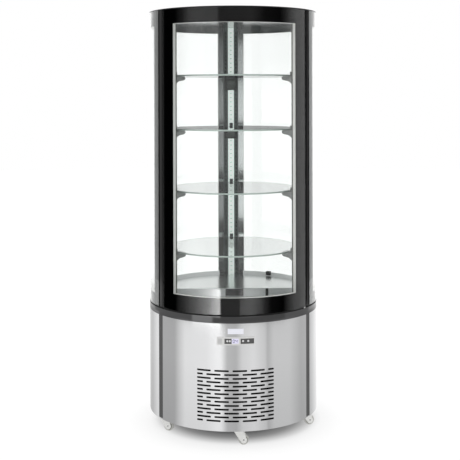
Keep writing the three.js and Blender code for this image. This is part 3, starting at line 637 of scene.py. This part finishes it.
def round_about(profile: Sequence[Point], centre: Vector, axis: Vector, steps: int) -> Shape:
    """A solid turned about an axis from points of radius and place along it.

    Args:
        profile: Points of radius and place; the first and last lie on the axis or meet each other.
        centre: Where the axis' zero lies.
        axis: The axis' direction.
        steps: How many facets run round.

    Returns:
        The closed mesh.
    """
    bm = bmesh.new()
    along = axis.normalized()
    side = along.orthogonal().normalized()
    verts = [bm.verts.new(centre + side * radius + along * place) for radius, place in profile]
    line = [*verts, *(bm.edges.new(pair) for pair in zip(verts, verts[1:]))]
    turn = {"cent": centre, "axis": along, "angle": FULL_TURN, "steps": steps}
    bmesh.ops.spin(bm, geom=line, use_merge=True, **turn)
    return closed_outwards(bm)


def block(bm: Shape, size: Size, place: Size, swing: float = 0.0, index: int = 0) -> None:
    """Adds a box.

    Args:
        bm: The mesh to add to.
        size: The box's size.
        place: Its middle.
        swing: The angle, in degrees, by which it is then swung round the cabinet's axis.
        index: Its faces' material index.
    """
    matrix = Matrix.Rotation(math.radians(swing), 4, "Z") @ Matrix.Translation(place)
    made = bmesh.ops.create_cube(bm, size=1.0, matrix=matrix @ Matrix.Diagonal((*size, 1.0)))
    for face in {face for vert in made["verts"] for face in vert.link_faces}:
        face.material_index = index


@dataclass
class Shell:
    """Base, ring, posts and roof, which the rest stands on and in."""

    post_angles: tuple = (("left", -58.2), ("right", 58.2), ("rear", 180.0))
    strip_inner: float = 0.325
    seam_top: float = 0.508
    seal_radii: Point = (0.3359, 0.3375)
    seal_heights: Point = (0.5079, 0.5129)
    seal_steps: int = 144
    rail_face: float = 0.304
    slot_aside: float = 0.0225
    slot_size: Size = (0.005, 0.0014, 0.009)
    slot_proud: float = 0.0003
    slot_pitch: float = 0.017
    slots_from: float = 0.5585
    slots_to: float = 1.628
    tab_drop: float = 0.0243
    tab_clear: float = 0.0125
    chip_size: Size = (0.008, 0.0008, 0.004)
    chip_lift: float = 0.25
    chip_pitch: float = 0.019
    riser_lean: float = -0.9

    def build(self) -> None:
        """Dresses the shell's nodes and adds rail slots of painted shade, light chips and the sill seal."""
        for node in ("base_front_panel", "base_left_panel", "base_right_panel", "base_pan"):
            round_piece(node, STEEL)
        round_piece("base_ring", RING_METAL)
        round_piece("roof_cap", ROOF_PAINT)
        round_piece("insulated_tub", FOAM_SHELL)
        round_piece("chamber_floor", DECK_STEEL)
        round_piece("rear_deck", DECK_STEEL, RISER_SATIN, rule=self.deck_finish)
        round_piece("ceiling_panel", CEILING_STEEL)
        finishes, cuts = (RAIL_PAINT, STRIP_BLACK, SEAM_GREY), ((2, (self.seam_top,)),)
        for side, angle in self.post_angles:
            round_piece(f"{side}_post", *finishes, rule=self.post_finish, cuts=cuts)
            self.rail_slots(side, angle)
        dress("led_strip", LIGHT_DIFFUSER)
        self.light_chips()
        self.sill_seal()
        dress("power_inlet", BLACK_PLASTIC)

    def deck_finish(self, face: Face) -> int:
        """Tells the deck's riser, which faces the door, from its other faces."""
        return int(face.normal.y < self.riser_lean)

    def post_finish(self, face: Face) -> int:
        """Tells rail, black outer strip and the seam between the base panels apart.

        Args:
            face: A face of a post.

        Returns:
            Which finish it gets.
        """
        middle = face.calc_center_median()
        if middle.xy.length < self.strip_inner:
            return 0
        return 1 if middle.z > self.seam_top else 2

    def rail_slots(self, side: str, angle: float) -> None:
        """Adds the two rows of slots on one post's rail as painted shade, but for those that hold a bracket's tab.

        Args:
            side: Which post.
            angle: Its angle round the cabinet, in degrees.
        """
        # Each slot is a thin dark block on the rail's face, painted shade where the real rail has a hole.
        bm = bmesh.new()
        tabs = [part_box(f"shelf_{k}")[0].z - self.tab_drop for k in LEVELS]
        face = self.slot_proud - self.rail_face - self.slot_size[1] / 2
        lean = math.degrees(self.slot_aside / self.rail_face)
        count = int((self.slots_to - self.slots_from) / self.slot_pitch)
        for k in range(count + 1):
            height = self.slots_from + k * self.slot_pitch
            if all(abs(height - tab) >= self.tab_clear for tab in tabs):
                for swing in (angle - lean, angle + lean):
                    block(bm, self.slot_size, (0.0, face, height), swing)
        add_piece(bm, f"{side}_rail_slots", [SLOT_PAINTED_SHADE], "cabinet", SLOT_OF[f"{side}_post"])

    def light_chips(self) -> None:
        """Adds the row of light chips that show faintly in the light strip."""
        low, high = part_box("led_strip")
        middle, face = (low.x + high.x) / 2, low.y - self.chip_size[1] * self.chip_lift
        bm = bmesh.new()
        for k in range(1, int((high.z - low.z) / self.chip_pitch)):
            block(bm, self.chip_size, (middle, face, low.z + k * self.chip_pitch))
        add_piece(bm, "light_chips", [LIGHT_CHIP], "cabinet", SLOT_OF["led_strip"])

    def sill_seal(self) -> None:
        """Adds the dark seal that fills the step between ring and glass."""
        low, high = self.seal_heights
        profile = mirrored([(radius, (high - low) / 2) for radius in self.seal_radii])
        bm = round_about(profile, UP * (low + high) / 2, UP, self.seal_steps)
        set_round_normals(add_piece(bm, "sill_seal", [SEAL_RUBBER]))


@dataclass
class Glazing:
    """The door and the two fixed glass units."""

    door_half: float = 54.8
    stile: float = 10.4
    rail: float = 0.0625
    head: float = 0.0555
    bottom: float = 0.5132
    door_top: float = 1.6712
    spacer_radii: Point = (0.3224, 0.3352)
    spacer_thick: float = 0.0009
    spacer_gap: float = 0.0002
    foot_gap: float = 0.0000342
    trim_radii: Point = (0.3095, 0.3172)
    trim_back: float = 1.0
    trim_half: float = 51.3
    trim_tall: float = 0.022
    side_from: float = 60.63
    side_to: float = 177.57
    side_border: float = 7.5
    side_sill: float = 0.0445
    side_head: float = 0.0607
    glass_top: float = 1.6724
    outer_lean: float = 0.5

    def build(self) -> None:
        """Dresses panes and frames, lines the windows with spacers and trims the door's inside."""
        for unit in ("door", "left", "right"):
            round_piece(f"{unit}_outer_glass", PANE_GLASS)
            round_piece(f"{unit}_inner_glass", PANE_GLASS)
        for side in ("left", "right"):
            round_piece(f"{side}_glass_frame", BORDER_ENAMEL, INNER_SILVER, rule=self.frame_finish)
        round_piece("door_frame", BLACK_ENAMEL)
        round_piece("door_gasket", SEAL_RUBBER)
        half = self.door_half - self.stile
        heights = (self.bottom + self.rail, self.door_top - self.head)
        spacer = self.spacer("door", "door", (-half, half), heights)
        spacer.data.materials.append(PAINT.get(SPACER_FOOT))
        for face in spacer.data.polygons:
            face.material_index = int(face.center.z < heights[0] + self.spacer_thick)
        self.inner_trim(half + self.trim_back, heights)
        heights = (self.bottom + self.side_sill, self.glass_top - self.side_head)
        start, end = self.side_from + self.side_border, self.side_to - self.side_border
        self.spacer("left", "cabinet", (-end, -start), heights)
        self.spacer("right", "cabinet", (start, end), heights)

    def frame_finish(self, face: Face) -> int:
        """Tells a glass frame's black outer side from its silver other sides."""
        return int(outward_lean(face) < self.outer_lean)

    def ring(self, name: str, body: str, finish: Finish, radii: Point, bars: Sequence) -> Piece:
        """Adds a curved frame made of bars.

        Args:
            name: The piece's name.
            body: The body that it rides on.
            finish: Its finish.
            radii: Its inner and outer radius.
            bars: The two heights and the two end angles of each bar.

        Returns:
            The frame.
        """
        bm = bmesh.new()
        for heights, ends in bars:
            bent_bar(bm, radii, heights, ends)
        bmesh.ops.recalc_face_normals(bm, faces=bm.faces)
        piece = add_piece(bm, name, [finish], body)
        set_round_normals(piece)
        return piece

    def spacer(self, unit: str, body: str, ends: Point, heights: Point) -> Piece:
        """Adds the spacer that lines a unit's window on the inside.

        Args:
            unit: The glass unit.
            body: The body that it rides on.
            ends: The window's two angles.
            heights: Its two heights.

        Returns:
            The spacer.
        """
        (start, end), (low, high) = ends, heights
        gap, wide = (math.degrees(arc / self.spacer_radii[1]) for arc in (self.spacer_gap, self.spacer_thick))
        foot, top = low + self.spacer_thick, high - self.spacer_thick
        return self.ring(f"{unit}_spacer", body, SPACER_METAL, self.spacer_radii, (
            ((low + self.foot_gap, foot), (start + gap, end - gap)),
            ((top, high), (start + gap, end - gap)),
            ((foot, top), (start + gap, start + wide)),
            ((foot, top), (end - wide, end - gap)),
        ))

    def inner_trim(self, half: float, heights: Point) -> None:
        """Adds the grey trim round the door's window, on the door's inside.

        Args:
            half: The angle at which its opening ends on either side.
            heights: The opening's two heights.
        """
        low, high = heights
        edge, tall = self.trim_half, self.trim_tall
        self.ring("door_inner_trim", "door", TRIM_GREY, self.trim_radii, (
            ((low - tall, low), (-edge, edge)),
            ((high, high + tall), (-edge, edge)),
            ((low, high), (-edge, -half)),
            ((low, high), (half, edge)),
        ))


@dataclass
class Shelving:
    """Round glass shelves and the arms that carry them."""

    edge_ease: float = 0.0008
    steps: int = 144
    flat_lean: float = 0.9

    def build(self) -> None:
        """Makes the shelves as turned glass discs and eases the brackets' edges."""
        for k in LEVELS:
            self.shelf(f"shelf_{k}")
            # The rear brackets take the darker copy of the bracket paint, which paints in their shade.
            for side, finish in (("left", BRACKET_PAINT), ("right", BRACKET_PAINT), ("rear", BRACKET_PAINT_SHADED)):
                soft_edged(f"{side}_bracket_{k}", finish, self.edge_ease)

    def shelf(self, node: str) -> None:
        """Makes one shelf, with its ground edge in a finish of its own.

        Args:
            node: The shelf's CAD node.
        """
        low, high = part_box(node)
        radius, half, ease = high.x, (high.z - low.z) / 2, self.edge_ease
        profile = mirrored([(0.0, half), (radius - ease, half), (radius, half - ease)])
        bm = round_about(profile, UP * (low.z + half), UP, self.steps)
        for face in bm.faces:
            face.material_index = int(abs(face.normal.z) < self.flat_lean)
        piece = add_piece(bm, f"{node}_glass", [SHELF_GLASS, SHELF_EDGE], BODY_OF[node], SLOT_OF[node])
        smooth_by_angle(piece)
        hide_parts(node)


class Stroke(Enum):
    """A stroke of a seven-segment figure: its middle, in half widths and half heights, and if it stands."""

    TOP = (0, 1, False)
    MIDDLE = (0, 0, False)
    BOTTOM = (0, -1, False)
    LEFT_UP = (-1, 0.5, True)
    RIGHT_UP = (1, 0.5, True)
    LEFT_DOWN = (-1, -0.5, True)
    RIGHT_DOWN = (1, -0.5, True)


@dataclass
class Controls:
    """Controller strip, its display, and the blank plate above it."""

    window_middle: Point = (-0.0015, 0.416)
    window_size: Point = (0.0256, 0.0186)
    window_radii: Point = (0.3389, 0.3396)
    plate_middle: Point = (0.0, 0.4525)
    plate_size: Point = (0.060, 0.020)
    plate_radii: Point = (0.3391, 0.3398)
    digit_size: Point = (0.006, 0.011)
    digit_places: Point = (-0.0055, 0.0045)
    stroke: float = 0.0019
    stroke_deep: float = 0.0006
    buttons: range = range(1, 5)
    button_ease: float = 0.0006
    zones: tuple = ((-0.067, -0.051, 1), (-0.042, -0.0155, 2), (0.0185, 0.0695, 2))
    zone_heights: Point = (0.4054, 0.4252)
    front_lean: float = 0.9

    def build(self) -> None:
        """Dresses the strip and adds display, digits and plate."""
        edges = sorted({edge for zone in self.zones for edge in zone[:2]})
        finishes = (STRIP_SILVER, STRIP_GREY, STRIP_DARK)
        cuts = ((0, edges), (2, self.zone_heights))
        round_piece("control_bezel", *finishes, rule=self.zone_finish, cuts=cuts)
        for k in self.buttons:
            soft_edged(f"control_button_{k}", KEY_PLASTIC, self.button_ease)
        self.plate("display_window", DISPLAY_GLOW, self.window_radii, self.window_middle, self.window_size)
        self.plate("blank_plate", PLATE_SATIN, self.plate_radii, self.plate_middle, self.plate_size)
        self.digits()

    def zone_finish(self, face: Face) -> int:
        """Tells which finish a face of the controller strip gets by the zone that it lies in.

        Args:
            face: A face of the strip.

        Returns:
            Which finish it gets.
        """
        middle = face.calc_center_median()
        low, high = self.zone_heights
        if outward_lean(face) < self.front_lean or not low < middle.z < high:
            return 0
        return next((finish for start, end, finish in self.zones if start < middle.x < end), 0)

    def plate(self, name: str, finish: Finish, radii: Point, middle: Point, size: Point) -> None:
        """Adds a thin plate that follows the base's curve.

        Args:
            name: The plate's name.
            finish: Its finish.
            radii: Its inner and outer radius.
            middle: How far its middle lies aside, and how high.
            size: Its width and height.
        """
        (aside, height), (wide, tall) = middle, size
        ends = [math.degrees((aside + side * wide / 2) / radii[1]) for side in (-1, 1)]
        bent_plate(name, finish, radii, (height - tall / 2, height + tall / 2), ends)

    def digits(self) -> None:
        """Adds a generic two-figure temperature in seven-segment strokes."""
        (aside, height), (wide, tall) = self.window_middle, self.digit_size
        half, thick, deep = tall / 2, self.stroke, self.stroke_deep
        zero = [stroke for stroke in Stroke if stroke is not Stroke.MIDDLE]
        four = [Stroke.MIDDLE, Stroke.LEFT_UP, Stroke.RIGHT_UP, Stroke.RIGHT_DOWN]
        bm = bmesh.new()
        for offset, figure in zip(self.digit_places, (zero, four)):
            for stroke in figure:
                x, z, stands = stroke.value
                size = (thick, deep, half - thick) if stands else (wide - thick, deep, thick)
                block(bm, size, (aside + offset + x * wide / 2, -self.window_radii[1], height + z * half))
        add_piece(bm, "display_digits", [DIGIT_BLUE])


@dataclass
class Casters:
    """Four swivel casters: the forks are CAD nodes, the wheels are turned.

    Widths along an axle are shares of the wheel's half width, and tread points lie inside its radius.
    """

    radius: float = 0.020
    half_width: float = 0.009
    tread: tuple = ((0.0025, 1.0), (0.0008, 0.78), (0.0, 0.4))
    tyre_foot: float = 0.9
    groove_radius: float = 0.0145
    groove_wide: float = 0.6
    hub_radius: float = 0.0112
    hub_ease: float = 0.002
    hub_wide: float = 0.85
    hub_rim: float = 0.7
    steps: int = 48
    axle_radius: float = 0.003
    axle_over: float = 0.0034
    axle_steps: int = 20
    fork_ease: float = 0.0007

    def build(self) -> None:
        """Eases the forks and turns the wheels' parts."""
        for place in ("front", "left", "right", "rear"):
            soft_edged(f"{place}_caster_fork", CASTER_PLASTIC, self.fork_ease)
            self.wheel(place)

    def wheel(self, place: str) -> None:
        """Makes one wheel's tyre, groove, hub and axle about its joint's axis.

        Args:
            place: Which caster it belongs to.
        """
        joint = JOINTS[f"{place}_wheel_roll"]
        centre, axis = Vector(joint["pos_m"]), Vector(joint["axis"])
        body, node = f"{place}_wheel", f"{place}_caster_wheel"
        wide, groove, hub = self.half_width, self.groove_radius, self.hub_radius
        reach = wide + self.axle_over
        tread = [(self.radius - inside, wide * share) for inside, share in self.tread]
        face = wide * self.hub_wide
        for name, finish, steps, half in (
            ("tyre", TYRE_PLASTIC, self.steps, [(groove, wide * self.tyre_foot), *tread]),
            ("groove", GROOVE_OLIVE, self.steps, [(r, wide * self.groove_wide) for r in (hub, groove)]),
            ("hub", CASTER_PLASTIC, self.steps, [
                (0.0, face), (hub - self.hub_ease, face), (hub, wide * self.hub_rim)
            ]),
            ("axle", PIN_STEEL, self.axle_steps, [(0.0, reach), (self.axle_radius, reach)]),
        ):
            bm = round_about(mirrored(half), centre, axis, steps)
            piece = add_piece(bm, f"{place}_{name}", [finish], body, SLOT_OF[node])
            smooth_by_angle(piece)
            if name == "hub":
                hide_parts(node)


@dataclass
class Machinery:
    """Refrigeration unit inside base and tub."""

    pot_ease: float = 0.002

    def build(self) -> None:
        """Dresses the hidden pieces."""
        soft_edged("compressor", POT_ENAMEL, self.pot_ease)
        dress("evaporator_coil", COIL_METAL)
        # The condenser coil's near black is painted shade for the inside of the base.
        dress("condenser_coil", COIL_PAINTED_SHADE)
        for node in ("condenser_fan_shroud", "condenser_fan", "evaporator_fan"):
            dress(node, BLACK_PLASTIC)


@dataclass
class Fittings:
    """Small fittings in the chamber, in the base and at the door's foot."""

    curb_angles: tuple = (("right", (64.0, 170.4)), ("left", (-170.4, -64.0)))
    curb_radii: Point = (0.3132, 0.3172)
    curb_heights: Point = (0.5131, 0.5648)
    probe_angle: float = 148.0
    probe_radius: float = 0.3062
    probe_size: Size = (0.0206, 0.0135, 0.0175)
    probe_height: float = 0.5618
    probe_ease: float = 0.002
    probe_segments: int = 3
    hinge_ends: Point = (52.7, 54.7)
    hinge_radii: Point = (0.3377, 0.3397)
    hinge_heights: Point = (0.5079, 0.5128)
    # Painted shade: a dark sheet laid on the pan over the rear vents.
    shade_sheet_size: Size = (0.26, 0.09, 0.0012)
    shade_sheet_place: float = 0.222
    shade_sheet_lift: float = 0.0002
    notch_aside: float = 0.1377
    notch_size: Size = (0.0115, 0.0008, 0.03)
    vent_aside: float = 0.005
    vent_size: Size = (0.073, 0.0008, 0.029)
    louvre_size: Size = (0.065, 0.0008, 0.0014)
    louvre_pitch: float = 0.0048
    louvres_aside: int = 2

    def build(self) -> None:
        """Adds curbs, probe box, hinge plate, a dark sheet of painted shade over the rear vents and the grating on
        the deck's riser.
        """
        for side, ends in self.curb_angles:
            # The curbs' finish carries painted light: it glows though the curbs are no lamp.
            bent_plate(f"{side}_glass_curb", CURB_PAINTED_GLOW_GREY, self.curb_radii, self.curb_heights, ends)
        self.probe_box()
        bent_plate("door_hinge_plate", PIN_STEEL, self.hinge_radii, self.hinge_heights, self.hinge_ends)
        self.vent_shade_sheet()
        self.grating()

    def probe_box(self) -> None:
        """Adds the small box at the right end of the chamber's back, with rounded edges."""
        bm = bmesh.new()
        block(bm, self.probe_size, (0.0, -self.probe_radius, self.probe_height), self.probe_angle)
        rounding = {"segments": self.probe_segments, "profile": 0.5, "affect": "EDGES", "material": -1}
        bmesh.ops.bevel(bm, geom=bm.edges[:], offset=self.probe_ease, **rounding)
        smooth_by_angle(add_piece(bm, "probe_box", [BLACK_PLASTIC]))

    def vent_shade_sheet(self) -> None:
        """Adds a dark sheet of painted shade on the pan over the rear vents, so that no bright floor shows through
        them at the air slots.
        """
        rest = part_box("base_pan")[1].z + self.shade_sheet_size[2] / 2 + self.shade_sheet_lift
        bm = bmesh.new()
        block(bm, self.shade_sheet_size, (0.0, self.shade_sheet_place, rest))
        add_piece(bm, "vent_shade_sheet", [SEAL_RUBBER])

    def grating(self) -> None:
        """Adds the air grating as a dark block of painted shade with its louvres, and the cable notch, also
        painted shade, on the deck's riser.
        """
        low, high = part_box("rear_deck")
        middle, deep = (low.z + high.z) / 2, self.vent_size[1]
        # Vent and notch are dark blocks of painted shade for the openings; the louvres are black plastic.
        bm = bmesh.new()
        block(bm, self.vent_size, (self.vent_aside, low.y - deep / 2, middle))
        block(bm, self.notch_size, (self.notch_aside, low.y - deep / 2, middle))
        face = low.y - deep - self.louvre_size[1] / 2
        for k in range(-self.louvres_aside, self.louvres_aside + 1):
            block(bm, self.louvre_size, (self.vent_aside, face, middle + k * self.louvre_pitch), index=1)
        add_piece(bm, "riser_grating", [SLOT_PAINTED_SHADE, BLACK_PLASTIC])


@dataclass
class Studio:
    """Camera, pale floor with a painted shadow, and soft light, with grey panels that only reflections see.

    A panel has a name, its brightest level, and its levels by angle round the cabinet, in degrees from
    the front towards +X. Base, Ring, Rail and Far lie one behind the other on the floor, and Inside is
    what rays mirrored inside the cabinet see. The levels were set by comparing brightness with
    the photograph angle by angle.
    """

    eye_distance: float = 4.0
    eye_height: float = 1.336
    pitch: float = 90.0
    turn: float = -1.5
    roll: float = 0.0024
    lens: float = 76.36
    sensor: float = 36.0
    shift: Point = (-0.00587, -0.2913)
    sight: float = 60.0
    floor_radius: float = 14.0
    floor_sides: int = 64
    floor_drop: float = 0.0004
    floor_grey: tuple = (0.2, 0.2, 0.2, 1.0)
    floor_roughness: float = 0.9
    floor_specular: float = 0.1
    reaches: tuple = (("Ring", 2.4), ("Rail", 2.57), ("Far", 3.4))
    reach_fade: float = 0.03
    near_fade: Point = (0.5, 1.5)
    near_levels: Point = (0.88, 1.0)
    behind_glass: float = 1.3
    soft_level: float = 0.9
    dusk_rise: Point = (-0.005, 0.04)
    dusk_end: Point = (0.072, 0.086)
    dusk_depth: float = 0.68
    inside_depth: float = 5.5
    first_depth: float = 0.5
    mirror_radius: float = 0.34
    mirror_rounds: int = 3
    under_radius: float = 0.45
    # Painted shadow on the floor: the paper's glow by distance from this point, low round the cabinet's foot and
    # full further out.
    shadow_centre: Point = (0.012, 0.08)
    shadow: tuple = (
        (0.2, 0.0), (0.24, 0.1), (0.26, 0.15), (0.28, 0.27), (0.3, 0.42), (0.32, 0.57), (0.335, 0.7),
        (0.355, 0.77), (0.42, 0.82), (0.5, 0.86),
    )
    panels: tuple = (
        ("Base", 1.2, (
            (-180, 0.7), (-148, 0.6), (-125, 0.9), (-121, 0.45), (-88, 0.45), (-80, 0.65), (-70, 0.85),
            (-38, 0.87), (-23, 1.0), (-18, 0.98), (-10, 0.55), (2, 0.5), (10, 0.72), (25, 0.8), (42, 0.65),
            (45, 0.5), (54, 0.65), (80, 0.65), (103, 0.48), (121, 0.5), (141, 0.8), (162, 1.0),
        )),
        ("Ring", 1.2, (
            (-180, 0.8), (-141, 0.85), (-132, 0.5), (-60, 0.48), (-57, 1.1), (-31, 1.1), (-28, 0.37),
            (71, 0.36), (74, 0.53), (122, 0.53), (127, 1.0), (180, 1.2),
        )),
        ("Rail", 6.0, (
            (-180, 1.4), (-141, 0.75), (-120, 0.9), (-112, 0.15), (-109.5, 0.0), (-86, 0.0), (-70, 0.35),
            (-55, 1.0), (-44, 1.8), (-35, 2.8), (-27, 4.7), (-23, 5.9), (-18.8, 5.9), (-18.2, 0.28),
            (6.8, 0.3), (7.6, 0.85), (21, 1.15), (33, 0.75), (42, 0.22), (50, 0.03), (70, 0.0), (91, 0.55),
            (115, 0.6), (116.5, 0.0), (123, 0.0), (125, 1.0), (180, 1.3),
        )),
        ("Far", 1.4, (
            (-158, 1.3), (-141, 0.75), (-121, 0.43), (-112, 0.1), (-108, 0.0), (-86, 0.0), (-73, 0.13),
            (-62, 0.5), (-50, 0.6), (-22, 0.53), (-19, 0.18), (25, 0.21), (42, 0.05), (66, 0.02), (75, 0.15),
            (88, 0.57), (97, 0.68), (115.3, 0.57), (116.5, 0.0), (123.3, 0.0), (124.5, 0.55), (162, 1.3),
        )),
        ("Inside", 1.4, (
            (-180, 1.0), (-25, 1.2), (-0.5, 0.95), (1, 1.05), (1.8, 0.62), (12, 0.45), (16, 0.35), (40, 0.35),
            (100, 0.9), (180, 1.0),
        )),
    )

    def build(self) -> None:
        """Sets camera, world and floor."""
        self.camera()
        bands = self.band_group()
        self.world(bands)
        self.floor(bands)
        bpy.context.scene.view_settings.view_transform = "Standard"

    def camera(self) -> None:
        """Places the camera at the photograph's angle."""
        data = bpy.data.cameras.new("camera")
        data.lens = self.lens
        data.sensor_width = self.sensor
        data.shift_x, data.shift_y = self.shift
        data.clip_end = self.sight
        camera = bpy.data.objects.new("camera", data)
        camera.location = on_circle(self.eye_distance, self.turn, self.eye_height)
        camera.rotation_euler = (math.radians(self.pitch), self.roll, math.radians(self.turn))
        bpy.context.scene.collection.objects.link(camera)
        bpy.context.scene.camera = camera

    def band_group(self) -> Tree:
        """Builds the group that turns an angle round the cabinet into each panel's brightness there.

        Returns:
            The group.
        """
        outputs = {name: "Color" for name, _, _ in self.panels}
        tree, source, sink = new_group("studio_panels", {"Angle": "Float"}, outputs)
        place = calc(tree, "MULTIPLY_ADD", source["Angle"], 1 / FULL_TURN, 0.5)
        for name, top, stops in self.panels:
            levels = [(degrees / 360 + 0.5, (level / top,) * 3) for degrees, level in stops]
            lift = add_node(tree, "VectorMath", {0: ramp(tree, place, levels), "Scale": top}, "SCALE")
            feed(tree, sink, {name: lift.outputs[0]})
        return tree

    def mirrored_angle(self, tree: Tree, bearing: Socket, away: Socket) -> Socket:
        """The direction in which the round cabinet, seen from the front, mirrors a point of the floor.

        Args:
            tree: The node tree.
            bearing: The point's angle round the cabinet's axis, in radians.
            away: Its distance from the axis.

        Returns:
            That direction's angle, so that a panel's edge shows upright in the cabinet's side.
        """
        share = calc(tree, "DIVIDE", self.mirror_radius, away)
        angle = bearing
        for _ in range(self.mirror_rounds):
            half = calc(tree, "MULTIPLY", angle, 0.5)
            lean = calc(tree, "MULTIPLY", calc(tree, "SINE", half), share)
            angle = calc(tree, "ADD", bearing, calc(tree, "ARCSINE", lean))
        return angle

    def paths(self, tree: Tree) -> dict[str, Socket]:
        """Sorts rays by what they show; those left over are reflections on the outside.

        Args:
            tree: The node tree.

        Returns:
            Whether a ray comes from the camera, brings soft light, has only passed glass, or was mirrored
            inside the cabinet.
        """
        path = tree.nodes.new("ShaderNodeLightPath").outputs
        unreflected = calc(tree, "LESS_THAN", path["Glossy Depth"], self.first_depth)
        undiffused = calc(tree, "LESS_THAN", path["Diffuse Depth"], self.first_depth)
        return {
            "camera": path["Is Camera Ray"],
            "soft": path["Is Diffuse Ray"],
            "through": calc(tree, "MULTIPLY", unreflected, undiffused),
            "inside": calc(tree, "GREATER_THAN", path["Transmission Depth"], self.inside_depth),
        }

    def world(self, bands: Tree) -> None:
        """Makes the world white to the camera, panelled in reflections, and plain for soft light.

        Args:
            bands: The group of the panels' brightness.
        """
        world = bpy.data.worlds.new("studio")
        bpy.context.scene.world = world
        world.use_nodes = True
        tree = world.node_tree
        tree.nodes.clear()
        kind = "Background"
        sight = tree.nodes.new("ShaderNodeTexCoord").outputs["Generated"]
        levels = use_group(tree, bands, {"Angle": azimuth(tree, sight)})
        rays = self.paths(tree)
        height = add_node(tree, "SeparateXYZ", {0: sight}).outputs["Z"]
        band = calc(tree, "SUBTRACT", fade(tree, height, *self.dusk_rise), fade(tree, height, *self.dusk_end))
        dusk = calc(tree, "MULTIPLY_ADD", band, -self.dusk_depth, 1.0)
        outside = shine(tree, kind, levels["Far"], 1.0)
        seen = mixed(tree, rays["inside"], outside, shine(tree, kind, levels["Inside"], dusk))
        seen = mixed(tree, rays["through"], seen, shine(tree, kind, WHITE, self.behind_glass))
        seen = mixed(tree, rays["soft"], seen, shine(tree, kind, WHITE, self.soft_level))
        seen = mixed(tree, rays["camera"], seen, shine(tree, kind, WHITE, 1.0))
        add_node(tree, "OutputWorld", {"Surface": seen})

    def floor(self, bands: Tree) -> None:
        """Lays a pale floor with a painted shadow round the cabinet, over the shade that it really gets, and shows
        the panels in reflections.

        Args:
            bands: The group of the panels' brightness.
        """
        bm = bmesh.new()
        bmesh.ops.create_circle(bm, cap_ends=True, segments=self.floor_sides, radius=self.floor_radius)
        mesh = bpy.data.meshes.new("floor")
        bm.to_mesh(mesh)
        bm.free()
        floor = bpy.data.objects.new("floor", mesh)
        floor.location.z = -self.floor_drop
        bpy.context.scene.collection.objects.link(floor)
        material = bpy.data.materials.new("floor_paper")
        material.use_nodes = True
        mesh.materials.append(material)
        self.floor_nodes(material.node_tree, bands)

    def floor_nodes(self, tree: Tree, bands: Tree) -> None:
        """Makes the floor paper with a painted shadow round the cabinet to camera and soft light, and panelled in
        reflections.

        Args:
            tree: The floor material's node tree.
            bands: The group of the panels' brightness.
        """
        kind = "Emission"
        shader = tree.nodes["Principled BSDF"]
        feed(tree, shader, {
            "Base Color": self.floor_grey,
            "Roughness": self.floor_roughness,
            "Specular IOR Level": self.floor_specular,
        })
        place = tree.nodes.new("ShaderNodeTexCoord").outputs["Object"]
        # Painted shadow: the paper's glow is dimmed by distance from a point near the axis.
        shadow = [(away, (level,) * 3) for away, level in self.shadow]
        lift = ramp(tree, distance(tree, place, self.shadow_centre), shadow)
        light = shine(tree, kind, WHITE, lift)
        paper = add_node(tree, "AddShader", {0: shader.outputs["BSDF"], 1: light}).outputs[0]
        away = distance(tree, place)
        bearing = azimuth(tree, place)
        levels = use_group(tree, bands, {"Angle": self.mirrored_angle(tree, bearing, away)})
        rays = self.paths(tree)
        dim, full = self.near_levels
        nearby = calc(tree, "MULTIPLY_ADD", fade(tree, away, *self.near_fade), full - dim, dim)
        seen = shine(tree, kind, levels["Base"], nearby)
        for name, edge in self.reaches:
            beyond = fade(tree, away, edge, edge + self.reach_fade)
            seen = mixed(tree, beyond, seen, shine(tree, kind, levels[name], 1.0))
        seen = mixed(tree, rays["inside"], seen, shine(tree, kind, levels["Inside"], 1.0))
        clear = calc(tree, "MULTIPLY", rays["through"], calc(tree, "GREATER_THAN", away, self.under_radius))
        seen = mixed(tree, clear, seen, shine(tree, kind, WHITE, self.behind_glass))
        for share in ("soft", "camera"):
            seen = mixed(tree, rays[share], seen, paper)
        feed(tree, tree.nodes["Material Output"], {"Surface": seen})


def main() -> None:
    """Builds and dresses the cabinet, then sets the studio."""
    logging.basicConfig(level=logging.INFO, format="%(message)s")
    for part in (Shell(), Glazing(), Shelving(), Controls(), Casters(), Machinery(), Fittings(), Studio()):
        part.build()
        log.info("built %s", type(part).__name__)


if __name__ == "__main__":
    main()
